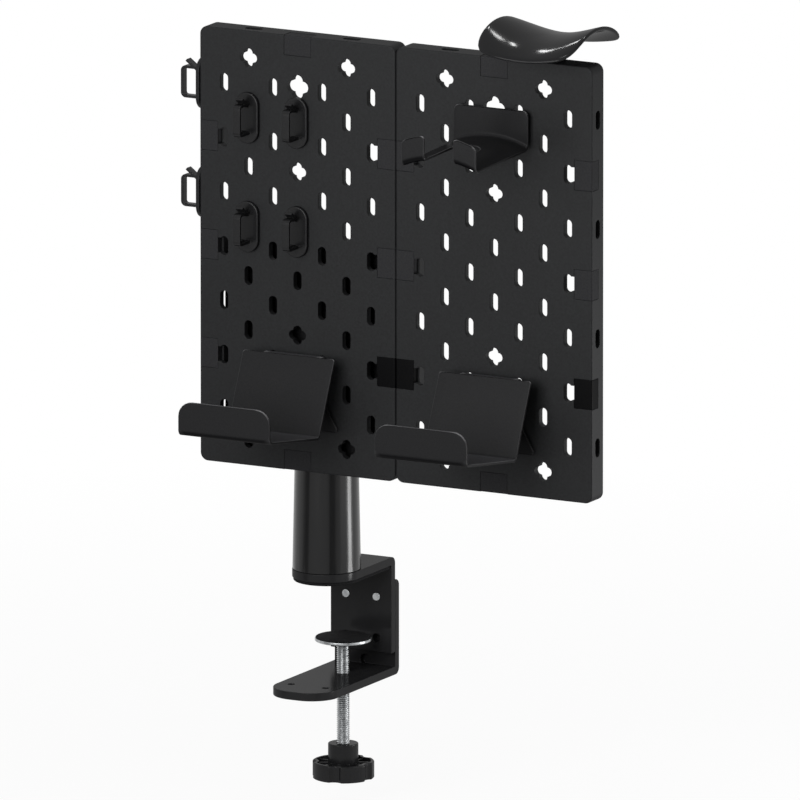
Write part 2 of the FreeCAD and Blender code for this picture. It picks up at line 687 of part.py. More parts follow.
def jaw_screws():
    screws = []
    seat_y = JAW_BACK + 2 * JAW_T
    for x, z in jaw_screw_places():
        head = rod(Vector(x, seat_y, z), JAW_SCREW_HEAD_R, JAW_SCREW_HEAD_H, ALONG_Y)
        head = head.makeFillet(JAW_SCREW_HEAD_H / 2,
                               edges_where(head, lambda point: near(point.y, seat_y + JAW_SCREW_HEAD_H)))
        tip_y = JAW_BACK - JAW_SCREW_PROUD
        shank = rod(Vector(x, tip_y, z), JAW_SCREW_R, seat_y - tip_y, ALONG_Y)
        screws.append(head.fuse(shank).removeSplitter())
    return screws


# Clamp screw, its disc and knob

disc_bottom = -DISC_TOP - DISC_LINER_T - DISC_T
hub_bottom = disc_bottom - HUB_H
shoulder_z = hub_bottom - HANG_GAP
knob_hub_bottom = -KNOB_TOP - KNOB_HUB_H


def build_disc_liner():
    return rod(Vector(0, SCREW_Y, -DISC_TOP - DISC_LINER_T), DISC_R - DISC_EDGE_R, DISC_LINER_T, ALONG_Z)


def build_pressure_disc():
    disc = rod(Vector(0, SCREW_Y, disc_bottom), DISC_R, DISC_T, ALONG_Z)
    disc = disc.makeFillet(DISC_EDGE_R, edges_where(disc, lambda point: near(point.z, disc_bottom)))
    hub = Part.makeCone(HUB_FOOT_R, HUB_TOP_R, HUB_H, Vector(0, SCREW_Y, hub_bottom), ALONG_Z)
    depth = SCREW_TIP_H + HANG_GAP / 2
    socket = rod(Vector(0, SCREW_Y, hub_bottom - PAST), SCREW_TIP_R + FIT_CLEAR, PAST + depth, ALONG_Z)
    return disc.fuse(hub).removeSplitter().cut(socket)


def build_clamp_screw():
    foot_z = knob_hub_bottom + HANG_GAP
    thread = rod(Vector(0, SCREW_Y, foot_z), SCREW_R, shoulder_z - foot_z, ALONG_Z)
    tip = rod(Vector(0, SCREW_Y, shoulder_z), SCREW_TIP_R, SCREW_TIP_H + HANG_GAP, ALONG_Z)
    return thread.fuse(tip).removeSplitter()


def knob_star(bottom, height, inset):
    """Lobed block whose side lies the given distance inside the knob's rim."""
    block = rod(Vector(0, 0, bottom), KNOB_R - inset, height, ALONG_Z)
    notch_at = KNOB_R - KNOB_NOTCH_DEPTH + KNOB_NOTCH_R
    notches = []
    for i in range(KNOB_LOBES):
        angle = math.radians(KNOB_TURN + 360.0 * i / KNOB_LOBES)
        start = Vector(notch_at * math.cos(angle), notch_at * math.sin(angle), bottom - PAST)
        notches.append(rod(start, KNOB_NOTCH_R + inset, height + 2 * PAST, ALONG_Z))
    return block.cut(group(notches))


def knob_hollow(bottom):
    """Ribbed hollow in the knob's upper side, between hub and rim."""
    floor_z = bottom + KNOB_FLOOR_T
    hollow = knob_star(floor_z, KNOB_H - KNOB_FLOOR_T + PAST, KNOB_RIM_T)
    kept = [rod(Vector(0, 0, floor_z), KNOB_HUB_R, KNOB_H + PAST, ALONG_Z)]
    for i in range(2 * KNOB_LOBES):
        rib = box(0, KNOB_R, -KNOB_RIB_T / 2, KNOB_RIB_T / 2, floor_z, bottom + KNOB_H - KNOB_RIB_DOWN)
        rib.rotate(Vector(0, 0, 0), ALONG_Z, KNOB_TURN + 180.0 * i / KNOB_LOBES)
        kept.append(rib)
    return hollow.cut(group(kept))


def build_knob():
    bottom = knob_hub_bottom - KNOB_H
    star = knob_star(bottom, KNOB_H, 0)
    rims = edges_where(star, lambda point: near(point.z, bottom) or near(point.z, bottom + KNOB_H))
    star = star.makeChamfer(KNOB_EDGE_R, rims).cut(knob_hollow(bottom))
    hub = rod(Vector(0, 0, knob_hub_bottom), KNOB_HUB_R, KNOB_HUB_H, ALONG_Z)
    hub = hub.makeFillet(KNOB_EDGE_R, edges_where(hub, lambda point: near(point.z, -KNOB_TOP)))
    bore = rod(Vector(0, 0, knob_hub_bottom), SCREW_R + FIT_CLEAR, KNOB_HUB_H + PAST, ALONG_Z)
    knob = star.fuse(hub).removeSplitter().cut(bore)
    return moved(knob, ALONG_Y * SCREW_Y)


# Accessories, each placed by the middle of a slot

def slot_place(corner, column, height):
    """Middle of a slot in the panel face: half pitches from the corner, then height above the panel's foot."""
    return corner + Vector(column * PITCH / 2, 0, height)


def hook_neck(place, depth, standoff):
    """Flat neck that lies low in a slot, from inside the hung plate back to the given depth."""
    low = place.z - neck_reach
    front = place.y - HANG_GAP - standoff - SHEET_T / 2
    return box(place.x - NECK_W / 2, place.x + NECK_W / 2, front, place.y + depth, low, low + SHEET_T)


def hung_hook(place, standoff):
    """Neck and downward tongue that hold a sheet-metal piece in a slot."""
    tongue_y = place.y + SLOT_DEPTH + TONGUE_GAP
    low = place.z - neck_reach
    tongue = box(place.x - NECK_W / 2, place.x + NECK_W / 2, tongue_y, tongue_y + SHEET_T,
                 low - hook_hold, low + SHEET_T)
    return hook_neck(place, SLOT_DEPTH + TONGUE_GAP + SHEET_T, standoff).fuse(tongue).removeSplitter()


def build_tray(corner):
    """Slope, floor and lip of one bent sheet, with a bracket behind the slope that ends in a wider foot."""
    face = corner.y - HANG_GAP
    foot = corner.z
    slope_top = Vector(0, face - TRAY_TOP_REACH, foot + tray_top)
    trough = Vector(0, face - TRAY_TROUGH_REACH, foot + tray_trough)
    front_y = face - TRAY_FRONT_REACH + SHEET_T
    points = [slope_top, trough, Vector(0, front_y, foot + tray_floor_front),
              Vector(0, front_y, foot + tray_floor_front + TRAY_LIP_H)]
    sheet = bent_strip(points, [0, TRAY_BEND_R, TRAY_BEND_R, 0], SHEET_T).extrude(ALONG_X * TRAY_W)
    lip_top = points[-1].z
    lip_ends = edges_where(sheet, lambda p: near(p.z, lip_top) and (near(p.x, 0) or near(p.x, TRAY_W)))
    sheet = sheet.makeFillet(TRAY_LIP_R, lip_ends)
    sheet.translate(ALONG_X * (-TRAY_W / 2))

    low = foot + tray_plate_bottom
    bracket_z = slope_top.z - TRAY_BRACKET_DOWN
    share = (TRAY_BRACKET_DOWN + SHEET_T / 2) / (slope_top.z - trough.z)
    inside_slope = slope_top.y + (trough.y - slope_top.y) * share + SHEET_T / 2
    run = [Vector(0, face, low), Vector(0, face, bracket_z), Vector(0, inside_slope, bracket_z)]
    bracket = bent_strip(run, [0, TRAY_BEND_R, 0], SHEET_T).extrude(ALONG_X * tray_bracket_w)
    bracket.translate(ALONG_X * (-tray_bracket_w / 2))
    w = tray_foot_w / 2
    v = tray_bracket_w / 2
    outline = [Vector(-w, face, low), Vector(w, face, low), Vector(v, face, low + TRAY_FOOT_H),
               Vector(-v, face, low + TRAY_FOOT_H)]
    wide_foot = prism(Part.makePolygon(outline + outline[:1]), ALONG_Y * -SHEET_T)
    tray = moved(sheet.fuse([bracket, wide_foot]), ALONG_X * (corner.x + cell_w / 2))
    middle = PANEL_COLUMNS
    for column in (middle - 1, middle + 1):
        tray = tray.fuse(hung_hook(slot_place(corner, column, 2 * PITCH), 0))
        tray = tray.fuse(hook_neck(slot_place(corner, column, PITCH), SLOT_DEPTH, 0))
    return tray.removeSplitter()


def arch_band(drop, height, radius, half_width):
    """Face in the XZ plane between two equal arches, the upper one's crown at -drop, seen along Y."""
    sag = radius - math.sqrt(radius ** 2 - half_width ** 2)
    top = Part.Arc(Vector(-half_width, 0, -drop - sag), Vector(0, 0, -drop),
                   Vector(half_width, 0, -drop - sag)).toShape()
    low = Part.Arc(Vector(-half_width, 0, -drop - sag - height), Vector(0, 0, -drop - height),
                   Vector(half_width, 0, -drop - sag - height)).toShape()
    left = Part.makeLine(top.Vertexes[0].Point, low.Vertexes[0].Point)
    right = Part.makeLine(top.Vertexes[-1].Point, low.Vertexes[-1].Point)
    return Part.Face(Part.Wire(Part.__sortEdges__([top, right, low, left])))


def build_controller_hook(corner):
    half = HOOK_W / 2
    centre_x = corner.x + cell_w / 2
    back = corner.y - HANG_GAP - HOOK_STANDOFF
    bottom = corner.z + hook_bottom
    crown = bottom + SHEET_T + HOOK_RISE
    radius = (half ** 2 + HOOK_RISE ** 2) / (2 * HOOK_RISE)
    front = corner.y - HOOK_REACH
    corners = [Vector(-half, back, bottom), Vector(half, back, bottom),
               Vector(half, back, bottom + HOOK_H), Vector(-half, back, bottom + HOOK_H)]
    plate = prism(rounded_path(corners, [0, 0, HOOK_CORNER_R, HOOK_CORNER_R]), ALONG_Y * -SHEET_T)
    under = prism(Part.Wire(Part.makeCircle(radius, Vector(0, back + PAST, crown - SHEET_T - radius), ALONG_Y)),
                  ALONG_Y * -(SHEET_T + 2 * PAST))
    plate = plate.cut(under)
    shelf = arch_band(0, SHEET_T, radius, half).extrude(ALONG_Y * (back - front))
    shelf.translate(Vector(0, front, crown))
    lip = arch_band(-HOOK_LIP_H + SHEET_T, HOOK_LIP_H, radius, half).extrude(ALONG_Y * SHEET_T)
    lip.translate(Vector(0, front, crown))
    lip_ends = edges_where(lip, lambda p: near(abs(p.x), half) and p.z > crown)
    lip = lip.makeFillet(HOOK_LIP_R, lip_ends)
    hook = plate.fuse([shelf, lip]).removeSplitter()
    gap_end = front + HOOK_CUT_D - HOOK_CUT_W / 2
    low = bottom - PAST
    tall = HOOK_H + HOOK_LIP_H
    gap = box(-HOOK_CUT_W / 2, HOOK_CUT_W / 2, front - PAST, gap_end, low, low + tall)
    gap = gap.fuse(rod(Vector(0, gap_end, low), HOOK_CUT_W / 2, tall, ALONG_Z))
    hook = moved(hook.cut(gap), Vector(centre_x, 0, 0))
    middle = PANEL_COLUMNS
    for column in (middle - 1, middle + 1):
        hook = hook.fuse(hung_hook(slot_place(corner, column, panel_h - PITCH), HOOK_STANDOFF))
    return hook.removeSplitter()


def rest_section(share):
    """Arched cross-section of the headphone rest at a share of its half length."""
    half_y = REST_HALF_Y * (1 - abs(share) ** REST_POWER) ** (1 / REST_POWER)
    radius = REST_ARCH_R * (1 - REST_END_TIGHTEN * share ** 2)
    rise = REST_END_RISE * ((1 + REST_END_CURL) * share ** 2 - REST_END_CURL * share ** 4)
    sag = radius - math.sqrt(radius ** 2 - half_y ** 2)
    x = REST_HALF_X * share
    top = Part.Arc(Vector(x, -half_y, rise - sag), Vector(x, 0, rise), Vector(x, half_y, rise - sag)).toShape()
    low = Part.Arc(Vector(x, half_y, rise - sag - REST_T), Vector(x, 0, rise - REST_T),
                   Vector(x, -half_y, rise - sag - REST_T)).toShape()
    back = Part.makeLine(Vector(x, half_y, rise - sag), Vector(x, half_y, rise - sag - REST_T))
    front = Part.makeLine(Vector(x, -half_y, rise - sag - REST_T), Vector(x, -half_y, rise - sag))
    return Part.Wire([top, back, low, front])


def build_headphone_rest(corner):
    stations = [0, 0.3, 0.55, 0.75, 0.88, 0.95, 0.985]
    shares = [-share for share in stations[:0:-1]] + stations
    saddle = Part.makeLoft([rest_section(share) for share in shares], True, False)
    top_z = board_top + REST_CROWN
    place = Vector(corner.x + 3 * PITCH, corner.y + PANEL_T / 2, top_z)
    saddle.translate(place)
    stem_top = top_z - REST_T / 2
    stem = box(place.x - REST_STEM_W / 2, place.x + REST_STEM_W / 2, place.y - REST_STEM_T / 2,
               place.y + REST_STEM_T / 2, board_top + HANG_GAP, stem_top)
    blade_x = SLOT_H / 2 - SLOT_W / 2
    blade_y = SLOT_W / 2 - NECK_CLEAR
    blade = box(place.x - blade_x, place.x + blade_x, place.y - blade_y, place.y + blade_y,
                board_top - rest_blade_depth, board_top + PAST)
    return saddle.fuse([stem, blade]).removeSplitter()


def build_clip():
    """Cable clip for a slot at the origin, standing out along -Y."""
    centre_z = -CLIP_DROP
    base = prism(stadium(CLIP_BASE_W, CLIP_BASE_H), ALONG_Y * -CLIP_BASE_T)
    base.translate(Vector(0, -HANG_GAP, centre_z))
    base_front = -HANG_GAP - CLIP_BASE_T
    base = base.makeFillet(CLIP_EDGE_R, edges_where(base, lambda point: near(point.y, base_front)))
    outline = rounded_rectangle(CLIP_POCKET_W, CLIP_LOOP_H - 2 * CLIP_BAND_T, CLIP_BEND_R)
    pocket = prism(outline, ALONG_Y * (CLIP_POCKET_D + PAST))
    base = base.cut(moved(pocket, Vector(0, base_front - PAST, centre_z)))

    out = -CLIP_REACH
    top = centre_z + CLIP_LOOP_H / 2
    low = centre_z - CLIP_LOOP_H / 2
    gate = base_front - CLIP_GATE
    loop_points = [Vector(0, gate, top), Vector(0, out, top), Vector(0, out, low),
                   Vector(0, base_front + PAST, low)]
    loop = bent_strip(loop_points, [0, CLIP_BEND_R, CLIP_BEND_R, 0], CLIP_BAND_T)
    root = Vector(0, gate, top - CLIP_BAND_T)
    tip = root + Vector(0, -CLIP_FLARE_OUT, CLIP_FLARE_UP)
    flare = bent_strip([root, tip], [0, 0], CLIP_BAND_T)
    band = loop.extrude(ALONG_X * CLIP_BAND_W).fuse(flare.extrude(ALONG_X * CLIP_BAND_W))
    band.translate(Vector(-CLIP_BAND_W / 2, 0, 0))

    neck_top = neck_reach - CLIP_DROP - NECK_CLEAR
    tongue_y = SLOT_DEPTH + TONGUE_GAP
    neck = box(-NECK_W / 2, NECK_W / 2, base_front / 2, tongue_y + SHEET_T, -neck_reach, neck_top)
    tongue = box(-NECK_W / 2, NECK_W / 2, tongue_y, tongue_y + SHEET_T, -neck_reach - CLIP_DROP, neck_top)
    return base.fuse([band, neck, tongue]).removeSplitter()


def front_clip(clip, column, height):
    return moved(clip, slot_place(left_corner, column, height))


def side_clip(clip, height):
    turned = clip.copy()
    turned.rotate(Vector(0, 0, 0), ALONG_Z, -90)
    return moved(turned, left_corner + Vector(edge_x, PANEL_T / 2, height))


def build_all():
    panel = build_panel()
    cover = build_edge_cover()
    seam_cover = build_seam_cover()
    bars, bar_screws = joiner_parts()
    cradles, bolts, nuts = board_fasteners()
    clip = build_clip()

    level_covers = on_level_edges(cover, [cell_w / 2])
    left_side = [moved(cover, Vector(0, 0, z)) for z in tab_heights]
    right_side = [on_right_edge(piece) for piece in left_side]
    seam_left = [moved(on_right_edge(seam_cover), Vector(0, 0, z)) for z in tab_heights]
    seam_right = [moved(seam_cover, Vector(0, 0, z)) for z in tab_heights]
    seam_pieces = [moved(piece, left_corner) for piece in seam_left]
    seam_pieces += [moved(piece, right_corner) for piece in seam_right]

    upper_row = panel_h - 1.5 * PITCH
    lower_row = panel_h - 3.5 * PITCH
    middle = PANEL_COLUMNS
    return {
        "upper_jaw": build_upper_jaw(),
        "desk_pad": build_desk_pad(),
        "lower_jaw": build_lower_jaw(),
        "jaw_screws": group(jaw_screws()),
        "pivot_washer": build_washer(),
        "pressure_disc": build_pressure_disc(),
        "disc_liner": build_disc_liner(),
        "clamp_screw": build_clamp_screw(),
        "knob": build_knob(),
        "column": build_column(),
        "column_foot": build_column_foot(),
        "column_cap": build_column_cap(),
        "pivot_bolt": build_pivot_bolt(),
        "column_saddles": group(cradles),
        "board_bolts": group(bolts),
        "bolt_nuts": group(nuts),
        "mount_plate": build_mount_plate(),
        "plate_screws": group(plate_screws()),
        "left_panel": moved(panel, left_corner),
        "right_panel": moved(panel, right_corner),
        "left_edge_covers": moved(group(left_side + level_covers), left_corner),
        "right_edge_covers": moved(group(right_side + level_covers), right_corner),
        "seam_covers": group(seam_pieces),
        "panel_joiners": moved(group(bars), right_corner),
        "joiner_screws": moved(group(bar_screws), right_corner),
        "left_tray": build_tray(left_corner),
        "right_tray": build_tray(right_corner),
        "controller_hook": build_controller_hook(right_corner),
        "headphone_rest": build_headphone_rest(right_corner),
        "clip_upper_outer": front_clip(clip, 2, upper_row),
        "clip_upper_inner": front_clip(clip, middle, upper_row),
        "clip_lower_outer": front_clip(clip, 2, lower_row),
        "clip_lower_inner": front_clip(clip, middle, lower_row),
        "clip_side_upper": side_clip(clip, panel_h - PITCH),
        "clip_side_lower": side_clip(clip, panel_h - 3 * PITCH),
    }


def main():
    os.makedirs("parts", exist_ok=True)
    for name, shape in build_all().items():
        shape.exportStep("parts/" + name + ".step")
        state = "valid" if shape.isValid() else "INVALID"
        print(name, len(shape.Solids), "solid(s)", round(shape.Volume), "mm3", state)


main()
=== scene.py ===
# %% [markdown]
# # A clamp-on desk pegboard
#
# The object is a black pegboard: two moulded panels on a round column, held to a desk by a steel clamp,
# with trays, a controller hook, a headphone rest and cable clips plugged into its slots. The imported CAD
# model already has every solid in its true place. This lesson breaks the solids' sharp edges, remakes the
# pieces that need finer shape, gives each piece its finish, and lights it like a catalogue picture.

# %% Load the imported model
import bpy
import bmesh
import json
from math import cos, pi, radians, sin, sqrt, tan
from mathutils import Matrix, Vector


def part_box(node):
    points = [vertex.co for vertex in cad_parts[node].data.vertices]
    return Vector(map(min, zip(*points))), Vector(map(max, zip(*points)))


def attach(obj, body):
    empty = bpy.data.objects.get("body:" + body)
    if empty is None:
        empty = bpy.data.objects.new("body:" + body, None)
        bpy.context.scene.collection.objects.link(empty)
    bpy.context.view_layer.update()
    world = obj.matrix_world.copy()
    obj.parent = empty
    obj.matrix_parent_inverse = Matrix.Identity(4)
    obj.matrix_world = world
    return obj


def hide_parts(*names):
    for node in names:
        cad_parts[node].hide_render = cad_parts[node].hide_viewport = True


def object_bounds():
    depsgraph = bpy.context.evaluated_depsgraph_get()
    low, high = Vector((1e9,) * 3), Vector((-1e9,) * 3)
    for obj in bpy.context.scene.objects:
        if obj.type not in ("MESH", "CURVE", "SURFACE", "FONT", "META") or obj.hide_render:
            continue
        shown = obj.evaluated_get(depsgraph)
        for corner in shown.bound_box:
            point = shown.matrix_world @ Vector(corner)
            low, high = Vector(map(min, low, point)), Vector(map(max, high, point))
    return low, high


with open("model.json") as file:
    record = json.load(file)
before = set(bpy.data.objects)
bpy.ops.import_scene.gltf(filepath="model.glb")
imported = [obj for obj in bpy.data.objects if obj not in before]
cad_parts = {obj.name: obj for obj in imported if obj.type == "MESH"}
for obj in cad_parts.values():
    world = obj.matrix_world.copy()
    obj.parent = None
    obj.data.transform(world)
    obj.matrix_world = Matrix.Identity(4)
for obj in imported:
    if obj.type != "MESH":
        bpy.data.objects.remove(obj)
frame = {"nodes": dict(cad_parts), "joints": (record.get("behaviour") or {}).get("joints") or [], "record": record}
cad_low, cad_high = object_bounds()
nodes = frame["nodes"]
scene = bpy.context.scene
scene.view_settings.view_transform = "Standard"
print(len(nodes), "solids, from", tuple(cad_low), "to", tuple(cad_high))

# %% [markdown]
# ## The camera
#
# The picture was taken from 28 degrees to the right of the board and 12 degrees above it. Upright edges
# stay parallel, so the lens was far away. A very long lens far back gives the same flat view, and it
# behaves like any other camera when the view is moved.

# %% Camera
MM = 0.001
AZIMUTH = radians(28.13)
ELEVATION = radians(12.16)
SENSOR_MM = 36
LENS_MM = 1600
FIELD = 0.5764                # height of the picture at the object, in metres
AIM = Vector((0.060, 0.0, 0.1385))

towards_camera = Vector((sin(AZIMUTH) * cos(ELEVATION), -cos(AZIMUTH) * cos(ELEVATION), sin(ELEVATION)))
camera = bpy.data.objects.new("camera", bpy.data.cameras.new("camera"))
camera.data.sensor_width = SENSOR_MM
camera.data.lens = LENS_MM
camera.data.clip_end = 100
camera.location = AIM + towards_camera * FIELD * LENS_MM / SENSOR_MM
camera.rotation_euler = towards_camera.to_track_quat("Z", "Y").to_euler()
scene.collection.objects.link(camera)
scene.camera = camera
print("camera", round(FIELD * LENS_MM / SENSOR_MM, 2), "m away")

# %% [markdown]
# ## Nodes and colours
#
# Every finish below is a small tree of shader nodes around one Principled shader. Colours are written as
# the hex values that a paint program shows, which are sRGB, and Blender wants linear light, so one function
# converts them. Patterns are sized in millimetres on the real surface.

# %% Helpers for finishes
def linear(hex_colour):
    """Linear colour of an sRGB hex value."""
    shares = [int(hex_colour[i:i + 2], 16) / 255 for i in (1, 3, 5)]
    return [s / 12.92 if s <= 0.04045 else ((s + 0.055) / 1.055) ** 2.4 for s in shares] + [1.0]


def per_metre(millimetres):
    """Texture scale whose pattern repeats after that many millimetres."""
    return 1000 / millimetres


def add_node(tree, kind, inputs, **settings):
    """Adds a node; inputs gives each named input a value or another node's output."""
    node = tree.nodes.new(kind)
    for name, value in settings.items():
        setattr(node, name, value)
    for name, value in inputs.items():
        if isinstance(value, bpy.types.NodeSocket):
            tree.links.new(value, node.inputs[name])
        else:
            node.inputs[name].default_value = value
    return node


def start_finish(name, constants):
    """A new material with its Principled shader's constants set; also its tree, shader and surface place."""
    material = bpy.data.materials.new(name)
    material.use_nodes = True
    tree = material.node_tree
    shader = tree.nodes["Principled BSDF"]
    for key, value in constants.items():
        shader.inputs[key].default_value = value
    place = add_node(tree, "ShaderNodeTexCoord", {}).outputs["Object"]
    return material, tree, shader, place


def set_ramp(ramp, low, low_hex, high, high_hex):
    """Two colours of a ramp, each at its place."""
    for element, position, colour in zip(ramp.color_ramp.elements, (low, high), (low_hex, high_hex)):
        element.position = position
        element.color = linear(colour)


def wire_up(tree, shader, sources):
    """Links other nodes' outputs to the shader's named inputs."""
    for name, output in sources.items():
        tree.links.new(output, shader.inputs[name])


# %% [markdown]
# ## Black ABS with a spark-eroded grain
#
# The panels are injection moulded in ABS. The mould's steel is roughened by sparks, and the plastic copies
# it as a fine, even grain that scatters light and hides flow marks. An image of grain would not fit every
# side, so noise in three dimensions makes it: one noise for the bumps and a wide, faint one that changes
# the gloss, as handling and mould wear do. The panels have some two hundred rounded slot edges. A bevel
# modifier can fold over such a pierced face, so the shader's Bevel node rounds their light instead.

# %% Panel finish
GRAIN_MM = 1.5                # the real grain is about 0.3 mm, too fine for a pixel of 0.7 mm
SLOT_EDGE_MM = 0.6

grained_abs, tree, shader, place = start_finish("moulded_abs_grained", {
    "IOR": 1.53, "Specular IOR Level": 0.0, "Coat Weight": 0.22, "Coat Roughness": 0.5, "Coat IOR": 1.53})
grain = add_node(tree, "ShaderNodeTexNoise", {
    "Vector": place, "Scale": per_metre(GRAIN_MM), "Detail": 3.0, "Roughness": 0.6})
patches = add_node(tree, "ShaderNodeTexNoise", {"Vector": place, "Scale": per_metre(45), "Detail": 2.0})
colour = add_node(tree, "ShaderNodeValToRGB", {"Fac": grain.outputs["Fac"]})
set_ramp(colour, 0.3, "#212122", 0.72, "#272829")
gloss = add_node(tree, "ShaderNodeMapRange", {
    "Value": patches.outputs["Fac"], "From Min": 0.3, "From Max": 0.7, "To Min": 0.5, "To Max": 0.58})
soft_edge = add_node(tree, "ShaderNodeBevel", {"Radius": SLOT_EDGE_MM * MM}, samples=6)
relief = add_node(tree, "ShaderNodeBump", {
    "Height": grain.outputs["Fac"], "Strength": 0.16, "Distance": 0.0003,
    "Normal": soft_edge.outputs["Normal"]})
wire_up(tree, shader, {
    "Base Color": colour.outputs["Color"], "Roughness": gloss.outputs["Result"],
    "Normal": relief.outputs["Normal"], "Coat Normal": relief.outputs["Normal"]})
print(grained_abs.name, len(tree.nodes), "nodes")

# %% [markdown]
# ## Smooth black ABS
#
# Clips, knob and joiners come from finer moulds with a plain, lightly blasted face. It is a little glossier
# and darker than the grain. The only pattern is a faint waviness where the plastic shrank.

# %% Clip and knob finish
smooth_abs, tree, shader, place = start_finish("moulded_abs_smooth", {
    "IOR": 1.53, "Specular IOR Level": 0.0, "Coat Weight": 0.32, "Coat Roughness": 0.24, "Coat IOR": 1.53})
waves = add_node(tree, "ShaderNodeTexNoise", {"Vector": place, "Scale": per_metre(9), "Detail": 2.0})
speckle = add_node(tree, "ShaderNodeTexNoise", {"Vector": place, "Scale": per_metre(1.1), "Detail": 2.0})
colour = add_node(tree, "ShaderNodeValToRGB", {"Fac": speckle.outputs["Fac"]})
set_ramp(colour, 0.35, "#1b1b1c", 0.7, "#202021")
gloss = add_node(tree, "ShaderNodeMapRange", {
    "Value": waves.outputs["Fac"], "From Min": 0.3, "From Max": 0.7, "To Min": 0.18, "To Max": 0.26})
relief = add_node(tree, "ShaderNodeBump", {
    "Height": speckle.outputs["Fac"], "Strength": 0.06, "Distance": 0.0002})
wire_up(tree, shader, {
    "Base Color": colour.outputs["Color"], "Roughness": gloss.outputs["Result"],
    "Normal": relief.outputs["Normal"], "Coat Normal": relief.outputs["Normal"]})
print(smooth_abs.name, len(tree.nodes), "nodes")

# %% [markdown]
# ## Covers with a painted reflection
#
# The covers' faces match the panels, but in the lowest row between the panels and on the right edge they
# mirror the dark trays beside them, and their colour is made near black there as a painted reflection. One
# finish does both: it looks at the height of the point on the board and changes colour between the rows,
# where no cover is.

# %% Cover finish
board_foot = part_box("left_panel")[0][2]
DARK_REFLECTION_ABOVE = 120 * MM        # above the board's lower edge, between the lowest and the middle row
END_BELOW = 30 * MM           # caps in the board's lower edge lie below this and match the panels

cover_abs, tree, shader, place = start_finish("moulded_abs_painted_reflection", {
    "IOR": 1.53, "Specular IOR Level": 0.0, "Coat Weight": 0.09, "Coat Roughness": 0.4, "Coat IOR": 1.53})
spread = add_node(tree, "ShaderNodeSeparateXYZ", {"Vector": place})
upper_rows = add_node(tree, "ShaderNodeMath", {
    0: spread.outputs["Z"], 1: board_foot + DARK_REFLECTION_ABOVE}, operation="GREATER_THAN")
left_side = add_node(tree, "ShaderNodeMath", {0: spread.outputs["X"], 1: 0.0}, operation="LESS_THAN")
end_rows = add_node(tree, "ShaderNodeMath", {
    0: spread.outputs["Z"], 1: board_foot + END_BELOW}, operation="LESS_THAN")
usual = upper_rows
for other in (left_side, end_rows):
    usual = add_node(tree, "ShaderNodeMath", {0: usual.outputs[0], 1: other.outputs[0]}, operation="MAXIMUM")
speckle = add_node(tree, "ShaderNodeTexNoise", {"Vector": place, "Scale": per_metre(1.3), "Detail": 2.0})
panel_black = add_node(tree, "ShaderNodeValToRGB", {"Fac": speckle.outputs["Fac"]})
set_ramp(panel_black, 0.35, "#2d2d2f", 0.7, "#333334")
# painted reflection: a near-black colour for the lowest row's covers, standing in for the dark trays they mirror
painted_reflection_black = add_node(tree, "ShaderNodeValToRGB", {"Fac": speckle.outputs["Fac"]})
set_ramp(painted_reflection_black, 0.35, "#060607", 0.7, "#0a0a0b")
colour = add_node(tree, "ShaderNodeMix", {
    "Factor": usual.outputs[0], "A": painted_reflection_black.outputs["Color"], "B": panel_black.outputs["Color"]},
    data_type="RGBA")
gloss = add_node(tree, "ShaderNodeMapRange", {"Value": usual.outputs[0], "To Min": 0.3, "To Max": 0.5})
relief = add_node(tree, "ShaderNodeBump", {
    "Height": speckle.outputs["Fac"], "Strength": 0.12, "Distance": 0.0002})
wire_up(tree, shader, {
    "Base Color": colour.outputs["Result"], "Roughness": gloss.outputs["Result"],
    "Normal": relief.outputs["Normal"], "Coat Normal": relief.outputs["Normal"]})
print(cover_abs.name, len(tree.nodes), "nodes")

# %% [markdown]
# ## Polished black ABS
#
# The headphone rest's mould was polished, so its face mirrors the room softly. Polished plastic is never
# quite flat: a long, weak wave bends the reflections, and fine dust-like dots dull it here and there.

# %% Rest finish
gloss_abs, tree, shader, place = start_finish("moulded_abs_gloss", {
    "IOR": 1.53, "Specular IOR Level": 0.0, "Coat Weight": 0.22, "Coat Roughness": 0.1, "Coat IOR": 1.53,
    "Base Color": linear("#1e1e1f")})
waves = add_node(tree, "ShaderNodeTexNoise", {"Vector": place, "Scale": per_metre(22), "Detail": 1.0})
dots = add_node(tree, "ShaderNodeTexNoise", {"Vector": place, "Scale": per_metre(1.6), "Detail": 3.0})
gloss = add_node(tree, "ShaderNodeMapRange", {
    "Value": dots.outputs["Fac"], "From Min": 0.35, "From Max": 0.75, "To Min": 0.2, "To Max": 0.28})
relief = add_node(tree, "ShaderNodeBump", {
    "Height": waves.outputs["Fac"], "Strength": 0.1, "Distance": 0.0006})
wire_up(tree, shader, {
    "Roughness": gloss.outputs["Result"], "Normal": relief.outputs["Normal"],
    "Coat Normal": relief.outputs["Normal"]})
print(gloss_abs.name, len(tree.nodes), "nodes")

# %% [markdown]
# ## Powder-coated steel
#
# Trays and hook are bent from steel sheet, dusted with dry paint and baked. The powder melts into a skin
# that is slightly dimpled, like orange peel, with a dull sheen. The skin is paint, so the shader stays
# non-metallic; the dimples are a noise of about their real size. Undersides get painted shade: their colour
# is darker. Steep edges get a painted highlight, a pale line that is strongest on upper edges, where light
# from above falls. In the low trays the level floor gets painted light: its colour is paler.

# %% Sheet-metal finish
TRAY_ZONE = board_foot + 120 * MM    # the trays hang below this height and the hook above it

